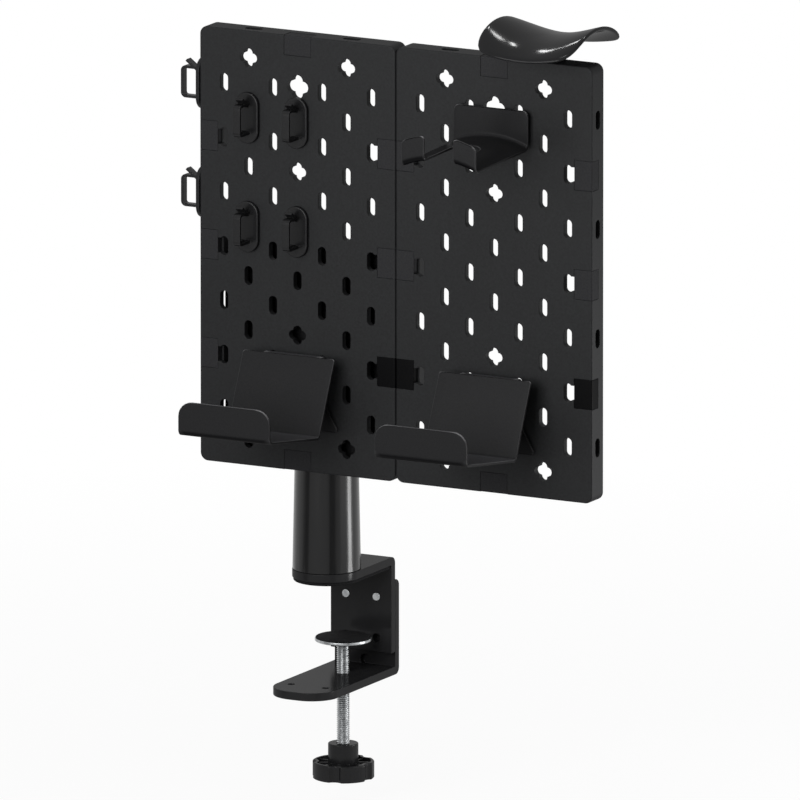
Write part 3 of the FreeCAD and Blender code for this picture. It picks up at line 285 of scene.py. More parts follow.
powder_coat, tree, shader, place = start_finish("powder_coated_steel", {
    "IOR": 1.5, "Specular IOR Level": 0.0, "Coat Weight": 0.12, "Coat Roughness": 0.3})
peel = add_node(tree, "ShaderNodeTexNoise", {"Vector": place, "Scale": per_metre(2.2), "Detail": 2.0})
dust = add_node(tree, "ShaderNodeTexNoise", {"Vector": place, "Scale": per_metre(1.2), "Detail": 3.0})
colour = add_node(tree, "ShaderNodeValToRGB", {"Fac": dust.outputs["Fac"]})
set_ramp(colour, 0.35, "#242425", 0.7, "#282829")
surface = add_node(tree, "ShaderNodeNewGeometry", {})
facing = add_node(tree, "ShaderNodeSeparateXYZ", {"Vector": surface.outputs["Normal"]})
# painted shade: faces that look down get a darker colour
below = add_node(tree, "ShaderNodeMapRange", {
    "Value": facing.outputs["Z"], "From Min": -0.03, "From Max": -0.4})
with_underside_shade = add_node(tree, "ShaderNodeMix", {
    "Factor": below.outputs["Result"], "A": colour.outputs["Color"], "B": linear("#08080a")},
    data_type="RGBA")
# painted light: the level floor of the low trays gets a paler colour
level = add_node(tree, "ShaderNodeMapRange", {
    "Value": facing.outputs["Z"], "From Min": 0.8, "From Max": 0.97})
height = add_node(tree, "ShaderNodeSeparateXYZ", {"Vector": place})
low = add_node(tree, "ShaderNodeMath", {0: height.outputs["Z"], 1: TRAY_ZONE}, operation="LESS_THAN")
floor_light_mask = add_node(tree, "ShaderNodeMath", {0: level.outputs["Result"], 1: low.outputs[0]}, operation="MULTIPLY")
with_floor_light = add_node(tree, "ShaderNodeMix", {
    "Factor": floor_light_mask.outputs[0], "A": with_underside_shade.outputs["Result"], "B": linear("#4a4a4c")}, data_type="RGBA")
# painted highlight: steep edges get a pale line, strongest where they face up to the light from above
edge = add_node(tree, "ShaderNodeMapRange", {
    "Value": surface.outputs["Pointiness"], "From Min": 0.53, "From Max": 0.6})
lit_from_above = add_node(tree, "ShaderNodeMapRange", {
    "Value": facing.outputs["Z"], "From Min": 0.25, "From Max": 0.8, "To Min": 0.15, "To Max": 1.0})
edge_highlight_mask = add_node(tree, "ShaderNodeMath", {
    0: edge.outputs["Result"], 1: lit_from_above.outputs["Result"]}, operation="MULTIPLY")
with_edge_highlight = add_node(tree, "ShaderNodeMix", {
    "Factor": edge_highlight_mask.outputs[0], "A": with_floor_light.outputs["Result"], "B": linear("#c4c4c6")}, data_type="RGBA")
gloss = add_node(tree, "ShaderNodeMapRange", {
    "Value": dust.outputs["Fac"], "From Min": 0.3, "From Max": 0.7, "To Min": 0.36, "To Max": 0.46})
relief = add_node(tree, "ShaderNodeBump", {
    "Height": peel.outputs["Fac"], "Strength": 0.06, "Distance": 0.0004})
wire_up(tree, shader, {
    "Base Color": with_edge_highlight.outputs["Result"], "Roughness": gloss.outputs["Result"],
    "Normal": relief.outputs["Normal"], "Coat Normal": relief.outputs["Normal"]})
print(powder_coat.name, len(tree.nodes), "nodes")

# %% [markdown]
# ## Satin coat on thick plate
#
# Jaws and mount plate are cut from thick plate and coated like the sheets, but with a smoother powder that
# flows to a satin skin. It mirrors lamps and paper softly. The colour below it is plain black, and only the
# skin's long waves show.

# %% Plate finish
clamp_coat, tree, shader, place = start_finish("satin_coated_plate", {
    "IOR": 1.5, "Specular IOR Level": 0.0, "Coat Weight": 0.22, "Coat Roughness": 0.2})
waves = add_node(tree, "ShaderNodeTexNoise", {"Vector": place, "Scale": per_metre(14), "Detail": 2.0})
colour = add_node(tree, "ShaderNodeValToRGB", {"Fac": waves.outputs["Fac"]})
set_ramp(colour, 0.35, "#232324", 0.7, "#272728")
relief = add_node(tree, "ShaderNodeBump", {
    "Height": waves.outputs["Fac"], "Strength": 0.08, "Distance": 0.0004})
wire_up(tree, shader, {
    "Base Color": colour.outputs["Color"], "Normal": relief.outputs["Normal"],
    "Coat Normal": relief.outputs["Normal"]})
print(clamp_coat.name, len(tree.nodes), "nodes")

# %% [markdown]
# ## Satin paint on a tube
#
# The column is a drawn tube, sprayed with satin paint. It is smoother than powder coat, so lamps show on it
# as clear upright bands. Drawing leaves long faint lines along the tube; noise squeezed along the tube
# makes them.

# %% Column finish
satin_paint, tree, shader, place = start_finish("satin_painted_tube", {
    "IOR": 1.5, "Specular IOR Level": 0.3, "Base Color": linear("#050506")})
lengthwise = add_node(tree, "ShaderNodeMapping", {"Vector": place, "Scale": (1.0, 1.0, 0.03)})
lines = add_node(tree, "ShaderNodeTexNoise", {
    "Vector": lengthwise.outputs["Vector"], "Scale": per_metre(1.5), "Detail": 2.0})
gloss = add_node(tree, "ShaderNodeMapRange", {
    "Value": lines.outputs["Fac"], "From Min": 0.3, "From Max": 0.7, "To Min": 0.2, "To Max": 0.26})
relief = add_node(tree, "ShaderNodeBump", {
    "Height": lines.outputs["Fac"], "Strength": 0.04, "Distance": 0.0002})
wire_up(tree, shader, {"Roughness": gloss.outputs["Result"], "Normal": relief.outputs["Normal"]})
print(satin_paint.name, len(tree.nodes), "nodes")

# %% [markdown]
# ## Zinc-plated steel
#
# The clamp screw and the fasteners are bright zinc over turned steel. Zinc is pale grey and metallic, and
# the bath leaves it a little cloudy, so a soft noise moves both its colour and its roughness.

# %% Fastener finish
zinc, tree, shader, place = start_finish("zinc_plated_steel", {"Metallic": 1.0})
cloud = add_node(tree, "ShaderNodeTexNoise", {"Vector": place, "Scale": per_metre(3), "Detail": 3.0})
colour = add_node(tree, "ShaderNodeValToRGB", {"Fac": cloud.outputs["Fac"]})
set_ramp(colour, 0.3, "#8a8c8e", 0.75, "#b0b2b3")
gloss = add_node(tree, "ShaderNodeMapRange", {
    "Value": cloud.outputs["Fac"], "From Min": 0.3, "From Max": 0.7, "To Min": 0.2, "To Max": 0.32})
wire_up(tree, shader, {"Base Color": colour.outputs["Color"], "Roughness": gloss.outputs["Result"]})
print(zinc.name, len(tree.nodes), "nodes")

# %% [markdown]
# ## Turned aluminium
#
# The plug in the column's foot is cut on a lathe, and the tool leaves rings. Rings about the column's axis
# are bands of a wave texture over the height.

# %% Foot plug finish
turned_aluminium, tree, shader, place = start_finish("turned_aluminium", {
    "Metallic": 1.0, "Base Color": linear("#c9cbcd")})
rings = add_node(tree, "ShaderNodeTexWave", {"Vector": place, "Scale": per_metre(6.3), "Distortion": 0.3},
                 bands_direction="Z")
gloss = add_node(tree, "ShaderNodeMapRange", {"Value": rings.outputs["Fac"], "To Min": 0.26, "To Max": 0.4})
relief = add_node(tree, "ShaderNodeBump", {
    "Height": rings.outputs["Fac"], "Strength": 0.1, "Distance": 0.0001})
wire_up(tree, shader, {"Roughness": gloss.outputs["Result"], "Normal": relief.outputs["Normal"]})
print(turned_aluminium.name, len(tree.nodes), "nodes")

# %% [markdown]
# ## EVA foam
#
# A sheet of closed-cell foam lines the jaw and the disc, so that they don't mark the desk. Cut foam shows
# its cells as small pits. Voronoi cells, drawn about twice their real size, give the pits, with painted shade
# that darkens each pit towards its middle, and their paler walls.

# %% Foam finish
CELL_MM = 1.3

eva_foam, tree, shader, place = start_finish("eva_foam", {
    "IOR": 1.48, "Specular IOR Level": 0.08, "Roughness": 0.85})
cells = add_node(tree, "ShaderNodeTexVoronoi", {"Vector": place, "Scale": per_metre(CELL_MM)})
# painted shade: the colour darkens towards each cell's middle, where the pit is deepest
colour = add_node(tree, "ShaderNodeValToRGB", {"Fac": cells.outputs["Distance"]})
set_ramp(colour, 0.0, "#101011", 0.6, "#1d1d1e")
relief = add_node(tree, "ShaderNodeBump", {
    "Height": cells.outputs["Distance"], "Strength": 0.5, "Distance": 0.0004})
wire_up(tree, shader, {"Base Color": colour.outputs["Color"], "Normal": relief.outputs["Normal"]})
print(eva_foam.name, len(tree.nodes), "nodes")

# %% [markdown]
# ## Broken edges on the solids
#
# Real edges are never knife sharp: moulded edges are rounded, sheet edges are tumbled and paint rounds them
# further, and that thin round catches a line of light. The solids have sharp edges, so a stack of modifiers
# rounds them without touching the mesh: weld the corners that the file format split, dissolve triangles
# that lie flat together, bevel what is left at a steep angle, and weight the normals so that flats stay
# flat. The two pierced panels are left out, because their finish rounds their edges.

# %% Round the solids' edges and give them their finish
finish_of_slot = {
    "moulded_abs_grained": grained_abs, "moulded_abs_smooth": smooth_abs, "moulded_abs_gloss": gloss_abs,
    "powder_coated_steel": clamp_coat, "satin_painted_tube": satin_paint, "zinc_plated_steel": zinc,
    "turned_aluminium": turned_aluminium, "eva_foam": eva_foam,
}
EDGE_MM = {"moulded_abs_grained": 0.4, "powder_coated_steel": 0.45, "satin_painted_tube": 0.4}
OTHER_EDGE_MM = 0.3
STEEP = radians(38)           # edges that fold by more than this are rounded
FLAT = radians(1)             # triangles that meet at less than this are one face
SPLIT_MM = 0.002              # corners closer than this are one


def round_edges(piece, radius):
    """Modifiers that round a piece's steep edges and keep its flats flat."""
    bevel = piece.modifiers.new("round", "BEVEL")
    bevel.width = radius * MM
    bevel.segments = 2
    bevel.limit_method = "ANGLE"
    bevel.angle_limit = STEEP
    bevel.use_clamp_overlap = False
    bevel.loop_slide = False
    shade = piece.modifiers.new("even_shading", "WEIGHTED_NORMAL")
    shade.keep_sharp = False


for subpart in frame["record"]["subparts"]:
    solid = nodes[subpart["node"]]
    solid.data.materials.clear()
    solid.data.materials.append(finish_of_slot[subpart["material_slot"]])
    if subpart["node"] in ("left_panel", "right_panel"):
        continue
    weld = solid.modifiers.new("join_corners", "WELD")
    weld.merge_threshold = SPLIT_MM * MM
    flat = solid.modifiers.new("clear_flats", "DECIMATE")
    flat.decimate_type = "DISSOLVE"
    flat.angle_limit = FLAT
    round_edges(solid, EDGE_MM.get(subpart["material_slot"], OTHER_EDGE_MM))
for name in ("left_edge_covers", "seam_covers", "right_edge_covers"):
    nodes[name].data.materials[0] = cover_abs
nodes["pressure_disc"].data.materials[0] = zinc

# %% [markdown]
# ## Making pieces from points
#
# Some pieces need a finer shape than their solids: threads, bent sheet, a saddle and foam. They are worked
# out as rows of points in millimetres, in the same frame as the solids, so nothing has to be fitted. One
# helper turns points and faces into a piece that rides on a body and stands for its solid. Another closes
# rings of points into a skin.

# %% Helpers for pieces
def box_mm(node):
    """Lowest and highest corner of a solid, in millimetres."""
    low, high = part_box(node)
    return Vector(low) / MM, Vector(high) / MM


def add_piece(name, shells, body, finish, solid):
    """One object from several shells, each a list of points in millimetres and a list of faces."""
    points, faces = [], []
    for shell_points, shell_faces in shells:
        faces += [[len(points) + i for i in face] for face in shell_faces]
        points += [Vector(point) * MM for point in shell_points]
    mesh = bpy.data.meshes.new(name)
    mesh.from_pydata(points, [], faces)
    work = bmesh.new()
    work.from_mesh(mesh)
    bmesh.ops.remove_doubles(work, verts=work.verts, dist=0.001 * MM)
    bmesh.ops.recalc_face_normals(work, faces=work.faces)
    for face in work.faces:
        face.smooth = True
    work.to_mesh(mesh)
    work.free()
    mesh.materials.append(finish)
    piece = bpy.data.objects.new(name, mesh)
    scene.collection.objects.link(piece)
    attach(piece, body)
    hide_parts(solid)
    print(name, len(mesh.vertices), "points")
    return piece


def skin(rings):
    """Closed shell over rings with equal counts of points; the first and last ring are closed by a face."""
    count = len(rings[0])
    points = [point for ring in rings for point in ring]
    faces = []
    for a in range(0, len(points) - count, count):
        b = a + count
        faces += [[a + i, a + (i + 1) % count, b + (i + 1) % count, b + i] for i in range(count)]
    faces += [list(range(count)), list(range(len(points) - count, len(points)))]
    return points, faces


def block(low, high):
    """Box between two corners."""
    corners = [(low[0], low[1]), (high[0], low[1]), (high[0], high[1]), (low[0], high[1])]
    return skin([[(x, y, z) for x, y in corners] for z in (low[2], high[2])])


def circle(x, y, z, radius, count):
    """Level ring of points."""
    angles = [2 * pi * i / count for i in range(count)]
    return [(x + radius * cos(angle), y + radius * sin(angle), z) for angle in angles]


# %% [markdown]
# ## The threaded rod
#
# The clamp screw has a thread that shows as fine light and dark lines. A stack of plain rings would not
# climb, so each point's radius depends on its height and its angle together: that is a helix. The thread
# runs out at both ends, as a rolled thread does, and a plain tip carries the disc.

# %% Threaded rod
PITCH_MM = 1.5
THREAD_DEPTH_MM = 0.92
RUNOUT_MM = 2.0
ROWS_PER_TURN = 6
TIP_R_MM = 4.0
TIP_EDGE_MM = 0.5
DISC_GAP_MM = 0.3             # the thread ends this far below the disc
ROUND_COUNT = 24

rod_low, rod_high = box_mm("clamp_screw")
rod_x, rod_y = (rod_low.x + rod_high.x) / 2, (rod_low.y + rod_high.y) / 2
rod_r = (rod_high.x - rod_low.x) / 2
thread_top = box_mm("pressure_disc")[0].z - DISC_GAP_MM
rows = int((thread_top - rod_low.z) / PITCH_MM * ROWS_PER_TURN)
rings = []
for row in range(rows + 1):
    z = rod_low.z + (thread_top - rod_low.z) * row / rows
    fade = min(1.0, (z - rod_low.z) / RUNOUT_MM, (thread_top - z) / RUNOUT_MM)
    ring = []
    for i in range(ROUND_COUNT):
        turn = (z / PITCH_MM - i / ROUND_COUNT) % 1.0
        groove = THREAD_DEPTH_MM * (1 - abs(2 * turn - 1)) * fade
        radius = rod_r - groove - (0.5 * THREAD_DEPTH_MM if row in (0, rows) else 0)
        angle = 2 * pi * i / ROUND_COUNT
        ring.append((rod_x + radius * cos(angle), rod_y + radius * sin(angle), z))
    rings.append(ring)
rings += [circle(rod_x, rod_y, z, r, ROUND_COUNT) for z, r in
          ((thread_top, TIP_R_MM), (rod_high.z - TIP_EDGE_MM, TIP_R_MM),
           (rod_high.z, TIP_R_MM - TIP_EDGE_MM))]
add_piece("threaded_rod", [skin(rings)], "screw", zinc, "clamp_screw")

# %% [markdown]
# ## Foam on the jaw and the disc
#
# Thin sheets of foam are glued to the upper jaw and to the disc. Cut foam has soft edges that lean in a
# little, and a pressed face that bows by a few tenths. Rings that step in at both faces give the edge, and
# rings inside the face give the bow; these sheets are thin and glued flat, so no cloth simulation is needed.

# %% Foam sheets
def foam_sheet(outline, low, high, bow):
    """Soft-edged sheet; outline(inset) gives a ring, and bow sinks the middle of its free face."""
    thick = high - low
    edge = [(0.5, 0.0), (0.16, 0.14), (0.0, 0.34), (0.0, 0.66), (0.16, 0.86), (0.5, 1.0)]
    rings = [[(x, y, low + thick * share) for x, y in outline(inset * min(1.0, thick))]
             for inset, share in edge]
    middle = [(2.5, 0.1), (6.0, 0.6), (11.0, 1.0)]
    below = [[(x, y, low + thick * bow * share) for x, y in outline(inset)]
             for inset, share in reversed(middle)]
    return skin(below + rings)


def jaw_outline(inset):
    """The jaw's plan: a half round front and a straight back."""
    radius, back = pad_r - inset, pad_high.y - inset
    arc = [(-radius * cos(pi * i / 36), -radius * sin(pi * i / 36)) for i in range(37)]
    sides = [radius] * 8, [radius - 2 * radius * i / 12 for i in range(13)], [-radius] * 8
    ys = [back * i / 9 for i in range(1, 9)], [back] * 13, [back * (9 - i) / 9 for i in range(1, 9)]
    return arc + [(x, y) for xs, levels in zip(sides, ys) for x, y in zip(xs, levels)]


def disc_outline(inset):
    """The disc's plan, a circle."""
    return [(x, y) for x, y, z in circle(rod_x, rod_y, 0, liner_r - inset, 64)]


pad_low, pad_high = box_mm("desk_pad")
pad_r = (pad_high.x - pad_low.x) / 2
jaw_foam = add_piece("jaw_foam", [foam_sheet(jaw_outline, pad_low.z, pad_high.z, 0.1)],
                     "clamp", eva_foam, "desk_pad")

liner_low, liner_high = box_mm("disc_liner")
liner_r = (liner_high.x - liner_low.x) / 2
disc_foam = add_piece("disc_foam", [foam_sheet(disc_outline, liner_low.z, liner_high.z, 0.1)],
                      "pad", eva_foam, "disc_liner")

# %% [markdown]
# ## Bent sheet metal
#
# The trays and the hook are flat blanks folded in a press brake. A fold keeps the thickness of the sheet, so
# its inside and outside arcs share a centre. A helper walks along straight stretches and arcs, seen from
# the side, and another gives the sheet its width and thickness row by row. A solidify modifier could
# thicken a surface as well, but rows give control of the cut corners and of a curved shelf.

# %% Helpers for bent sheet
SHEET_MM = 2.0
FOLD_STEPS = 6


def folded_run(corners, radii):
    """Stations (length so far, point, side to the left) along a run in the YZ plane with rounded folds."""
    corners = [Vector(corner) for corner in corners]
    stations = []

    def add(point, way):
        length = stations[-1][0] + (point - stations[-1][1]).length if stations else 0.0
        stations.append((length, point, Vector((-way.y, way.x))))

    add(corners[0], (corners[1] - corners[0]).normalized())
    for before, corner, after, radius in zip(corners, corners[1:], corners[2:], radii):
        way_in, way_out = (corner - before).normalized(), (after - corner).normalized()
        turn = way_in.angle_signed(way_out)              # positive to the right
        inward = Vector((way_in.y, -way_in.x)) if turn > 0 else Vector((-way_in.y, way_in.x))
        start = corner - way_in * radius * tan(abs(turn) / 2)
        centre = start + inward * radius
        for step in range(FOLD_STEPS + 1):
            part = Matrix.Rotation(-turn * step / FOLD_STEPS, 2)
            add(centre - (part @ inward) * radius, part @ way_in)
    add(corners[-1], (corners[-1] - corners[-2]).normalized())
    return stations


def station_at(stations, length):
    """Point and side at any length along a run."""
    for (s0, p0, n0), (s1, p1, n1) in zip(stations, stations[1:]):
        if length <= s1 + 1e-6:
            share = 0.0 if s1 - s0 < 1e-9 else (length - s0) / (s1 - s0)
            return p0.lerp(p1, share), n0.lerp(n1, share).normalized()
    return stations[-1][1], stations[-1][2]


def corner_cut(distance, radius):
    """How far a rounded corner takes the edge in, at a distance from the sheet's end."""
    return 0.0 if distance >= radius else radius - sqrt(max(0.0, radius ** 2 - (radius - distance) ** 2))


def corner_steps(radius):
    """Distances from the sheet's end at which a rounded corner gets a row."""
    return [radius * (1 - cos(pi / 2 * i / 6)) for i in range(7)]


def sheet_shell(stations, rows, drop=lambda x, length: 0.0, closed=(True, True)):
    """Shell of sheet thickness over rows of (length, list of x places); an open end joins the next shell."""
    count = len(rows[0][1])
    points, faces = [], []
    for length, places in rows:
        point, side = station_at(stations, length)
        for level in (0.0, SHEET_MM):
            y, z = point.x + side.x * level, point.y + side.y * level
            points += [(x, y, z - drop(x, length)) for x in places]
    for row in range(len(rows) - 1):
        a, b = row * 2 * count, (row + 1) * 2 * count
        for i in range(count - 1):
            faces.append([a + i, a + i + 1, b + i + 1, b + i])
            faces.append([a + count + i, b + count + i, b + count + i + 1, a + count + i + 1])
        for i in (0, count - 1):
            faces.append([a + i, b + i, b + count + i, a + count + i])
    for row, shut in zip((0, len(rows) - 1), closed):
        a = row * 2 * count
        if shut:
            faces += [[a + i, a + i + 1, a + count + i + 1, a + count + i] for i in range(count - 1)]
    return points, faces


def even_places(low, high, count):
    """Evenly spread places."""
    return [low + (high - low) * i / (count - 1) for i in range(count)]


# %% [markdown]
# ## The hooks that hang in the slots
#
# Trays and controller hook hang from two hooks: a short neck passes through a slot, and a tongue behind the
# panel drops and holds it. They are hidden from the front but plain to see from behind, so they follow the
# solids closely.

# %% Slot hooks
panel_low = box_mm("left_panel")[0]
FACE_Y = panel_low.y
FOOT_Z = panel_low.z
SLOT_STEP_MM = 20             # hooks use the slots this far to each side of a piece's middle
NECK_W_MM = 5.0
NECK_DOWN_MM = 5.417          # the neck rests this far below the slot's middle
TONGUE_MM = 8.484
BEHIND_MM = 8.0               # back of the tongue, behind the panel's face
PLAIN_NECK_MM = 5.6           # the same for a neck without a tongue


def slot_hook(x, slot_z, front_y, tongue=True):
    """Neck through a slot and, for a hanging hook, its tongue."""
    low = slot_z - NECK_DOWN_MM
    half = NECK_W_MM / 2
    back = FACE_Y + (BEHIND_MM if tongue else PLAIN_NECK_MM)
    shells = [block((x - half, front_y, low), (x + half, back, low + SHEET_MM))]
    if tongue:
        shells.append(block((x - half, back - SHEET_MM, low - TONGUE_MM), (x + half, back, low)))
    return shells


# %% [markdown]
# ## The trays
#
# Each tray is one folded sheet: a sloping back, a floor that rises a little to the front, and an upright
# lip with large round corners. A narrow bracket behind the slope carries the hooks and spreads into a wide
# foot that steadies the tray against the panel.

# %% Trays
TRAY_W_MM = 74.6
SLOPE_TOP = (-13.3, 88.5)     # forward of the panel's face and above the board's foot
TROUGH = (-37.0, 35.4)
FLOOR_FRONT = (-109.8, 45.7)
LIP_TOP = (-109.8, 68.8)
FOLD_MM = 2.5
LIP_CORNER_MM = 11.0
SLOPE_CORNER_MM = 2.0
BRACKET_W_MM = 47.0
BRACKET_DROP_MM = 1.2
FOOT_W_MM, FOOT_Z_MM, FOOT_TALL_MM = 68.8, 31.8, 20.0
FOOT_CORNER_MM = 3.0
BRACKET_GAP_MM = 0.3          # between the bracket and the panel's face
TRAY_NECK_MM = 1.3            # the necks start this far forward of the face, in the bracket
UPPER_SLOT_MM, LOWER_SLOT_MM = 80.0, 40.0


def on_board(point):
    """A place forward of the face and above the foot, in the frame."""
    return FACE_Y + point[0], FOOT_Z + point[1]


def tray_shells(middle):
    """Folded sheet, bracket and hooks of a tray about a middle line."""
    run = folded_run([on_board(p) for p in (SLOPE_TOP, TROUGH, FLOOR_FRONT, LIP_TOP)], [FOLD_MM, FOLD_MM])
    whole = run[-1][0]
    lengths = {round(s, 4) for s, point, side in run}
    lengths |= {round(d, 4) for d in corner_steps(SLOPE_CORNER_MM)}
    lengths |= {round(whole - d, 4) for d in corner_steps(LIP_CORNER_MM)}
    lengths |= {round(whole * i / 24, 4) for i in range(25)}
    rows = []
    for length in sorted(lengths):
        cut = max(corner_cut(length, SLOPE_CORNER_MM), corner_cut(whole - length, LIP_CORNER_MM))
        half = TRAY_W_MM / 2 - cut
        rows.append((length, even_places(middle - half, middle + half, 13)))
    shells = [sheet_shell(run, rows)]

    bend_z = SLOPE_TOP[1] - BRACKET_DROP_MM
    meet = SLOPE_TOP[0] + (SLOPE_TOP[1] - bend_z) * (TROUGH[0] - SLOPE_TOP[0]) / (SLOPE_TOP[1] - TROUGH[1])
    bracket = folded_run([on_board(p) for p in (
        (-BRACKET_GAP_MM, FOOT_Z_MM), (-BRACKET_GAP_MM, bend_z), (meet + 1.0, bend_z))], [FOLD_MM + SHEET_MM])
    rows = []
    for length in sorted({round(s, 4) for s, point, side in bracket} | {8.0, FOOT_TALL_MM} |
                         {round(d, 4) for d in corner_steps(FOOT_CORNER_MM)}):
        spread = max(0.0, 1 - length / FOOT_TALL_MM) * (FOOT_W_MM - BRACKET_W_MM)
        half = (BRACKET_W_MM + spread) / 2 - corner_cut(length, FOOT_CORNER_MM)
        rows.append((length, even_places(middle - half, middle + half, 9)))
    shells.append(sheet_shell(bracket, rows))
    for x in (middle - SLOT_STEP_MM, middle + SLOT_STEP_MM):
        shells += slot_hook(x, FOOT_Z + UPPER_SLOT_MM, FACE_Y - TRAY_NECK_MM)
        shells += slot_hook(x, FOOT_Z + LOWER_SLOT_MM, FACE_Y - TRAY_NECK_MM, tongue=False)
    return shells


for side_name in ("left", "right"):
    tray_low, tray_high = box_mm(side_name + "_tray")
    tray = add_piece("tray_sheet_" + side_name, tray_shells((tray_low.x + tray_high.x) / 2),
                     side_name + "_tray", powder_coat, side_name + "_tray")
    round_edges(tray, EDGE_MM["powder_coated_steel"])

# %% [markdown]
# ## The controller hook
#
# The hook is a sheet folded twice: a plate on the panel, a shelf that is arched across like a saddle, and a
# lip. A wide slot cut from the front leaves two arms, so a game controller's middle fits between them. The
# arch is a drop that grows with the distance from the middle line; it fades out up the plate, which stays
# flat against the panel.

# %% Controller hook
PLATE_GAP_MM = 3.0
PLATE_TOP_MM = 283.8          # above the board's foot, as are the next three
SHELF_BACK_MM = 263.0
SHELF_FRONT_MM = 260.6
LIP_TOP_MM = 277.4
SHELF_FOLD_MM = 3.0
ARCH_R_MM = 75.06
CUT_HALF_MM = 11.7
CUT_REACH_MM = 50.4           # from the lip's front face
HOOK_SLOT_MM = 280.0
PLATE_CORNER_MM = 4.0
ARM_CORNER_MM = 3.0

hook_low, hook_high = box_mm("controller_hook")
hook_x = (hook_low.x + hook_high.x) / 2
hook_half = (hook_high.x - hook_low.x) / 2
plate_y = FACE_Y - PLATE_GAP_MM - SHEET_MM
lip_y = hook_low.y + SHEET_MM
run = folded_run([(plate_y, FOOT_Z + PLATE_TOP_MM), (plate_y, FOOT_Z + SHELF_BACK_MM),
                  (lip_y, FOOT_Z + SHELF_FRONT_MM), (lip_y, FOOT_Z + LIP_TOP_MM)],
                 [SHELF_FOLD_MM, SHELF_FOLD_MM])
whole = run[-1][0]
plate_end = run[1][0]


def hook_drop(x, length):
    """Fall of the arched shelf at a place across it; the plate's top doesn't fall."""
    return (ARCH_R_MM - sqrt(ARCH_R_MM ** 2 - (x - hook_x) ** 2)) * min(1.0, length / plate_end)


def shelf_length(y):
    """Length along the run at which the shelf is at y."""
    return run[FOLD_STEPS + 1][0] + run[FOLD_STEPS + 1][1].x - y


cut_centre = hook_low.y + CUT_REACH_MM - CUT_HALF_MM
apex = shelf_length(cut_centre + CUT_HALF_MM)
rear = {round(s, 4) for s, point, side in run if s < apex} | {apex}
rear |= {round(d, 4) for d in corner_steps(PLATE_CORNER_MM)}
rear |= {round(plate_end * i / 8, 4) for i in range(9)} | {round(apex - 8.0, 4), round(apex - 16.0, 4)}
rows = []
for length in sorted(rear):
    half = hook_half - corner_cut(length, PLATE_CORNER_MM)
    rows.append((length, even_places(hook_x - half, hook_x + half, 21)))
shells = [sheet_shell(run, rows, hook_drop, closed=(True, False))]

ends = {round(s, 4) for s, point, side in run if s > shelf_length(cut_centre)}
ends |= {round(whole - d, 4) for d in corner_steps(ARM_CORNER_MM)}
for hand in (-1, 1):
    rows = []
    for i in range(13):
        inner = CUT_HALF_MM * sin(pi / 2 * i / 12)
        level = shelf_length(cut_centre + CUT_HALF_MM * cos(pi / 2 * i / 12))
        rows.append((level, [hook_x + hand * x for x in even_places(inner, hook_half, 11)]))
    for length in sorted(ends):
        cut = corner_cut(whole - length, ARM_CORNER_MM)
        places = even_places(CUT_HALF_MM + cut, hook_half - cut, 11)
        rows.append((length, [hook_x + hand * x for x in places]))
    shells.append(sheet_shell(run, rows, hook_drop, closed=(False, True)))
for x in (hook_x - SLOT_STEP_MM, hook_x + SLOT_STEP_MM):
    shells += slot_hook(x, FOOT_Z + HOOK_SLOT_MM, FACE_Y - PLATE_GAP_MM - 1.0)
hook = add_piece("hook_sheet", shells, "controller_hook", powder_coat,
                 "controller_hook")
round_edges(hook, EDGE_MM["powder_coated_steel"])

# %% [markdown]
# ## The headphone rest
#
# The rest is a polished saddle: it dips from front to back like the band that hangs over it, and its ends
# curl up. Its outline is a rounded rectangle, a superellipse. A subdivided box would only come close, so
# rings of points are laid straight on the curved face, with a full round rim, and a stem and a blade below
# plug it into the panel's top edge.

# %% Headphone rest
SADDLE_T_MM = 3.0
SADDLE_HALF_Y_MM = 45.0
SQUARENESS = 5.5
ARCH_MM = 99.0
END_RISE_MM = 8.9
CURL_HALF_MM = 41.4           # from the middle to where the ends have risen in full
RING_COUNT = 96
PANEL_TALL_MM = 320.0
CROWN_MM = 19.2               # height of the saddle's middle above the panel
BOX_SPARE_MM = 0.05           # keeps the ends inside the solid's box

rest_low, rest_high = box_mm("headphone_rest")
rest_x, rest_y = (rest_low.x + rest_high.x) / 2, (rest_low.y + rest_high.y) / 2
rest_half = (rest_high.x - rest_low.x) / 2 - BOX_SPARE_MM
panel_top = FOOT_Z + PANEL_TALL_MM
crown = panel_top + CROWN_MM


def saddle_height(x, y):
    """Height of the saddle's face: arched front to back, with its ends curling up."""
    q = min(1.0, abs(x) / CURL_HALF_MM)
    arch = ARCH_MM * (1 - 0.4 * q ** 2)
    return crown + END_RISE_MM * (1.38 * q ** 2 - 0.38 * q ** 4) - (arch - sqrt(arch ** 2 - y ** 2))


def saddle_ring(inset, drop, shrink=1.0):
    """Ring of the rest's outline, taken in from the rim and lowered from the face."""
    ring = []
    for i in range(RING_COUNT):
        angle = 2 * pi * i / RING_COUNT
        reach = (abs(cos(angle) / (rest_half - inset)) ** SQUARENESS +
                 abs(sin(angle) / (SADDLE_HALF_Y_MM - inset)) ** SQUARENESS) ** (-1 / SQUARENESS)
        x, y = reach * cos(angle) * shrink, reach * sin(angle) * shrink
        ring.append((rest_x + x, rest_y + y, saddle_height(x, y) - drop))
    return ring


rim = SADDLE_T_MM / 2
rings = [saddle_ring(rim, 0.0, share) for share in (0.02, 0.1, 0.22, 0.36, 0.5, 0.62, 0.73, 0.82, 0.89, 0.95)]
rings += [saddle_ring(rim * (1 - sin(pi * i / 8)), rim * (1 - cos(pi * i / 8))) for i in range(9)]
rings += [saddle_ring(rim, SADDLE_T_MM, share) for share in (0.95, 0.85, 0.7, 0.5, 0.3, 0.1, 0.02)]
saddle = skin(rings)
print("saddle rings", len(rings))

# %% Stem, blade and the whole rest
STEM_HALF = (12.0, 6.0)
BLADE_HALF = (3.575, 2.975)
STEM_CORNER_MM = 3.0


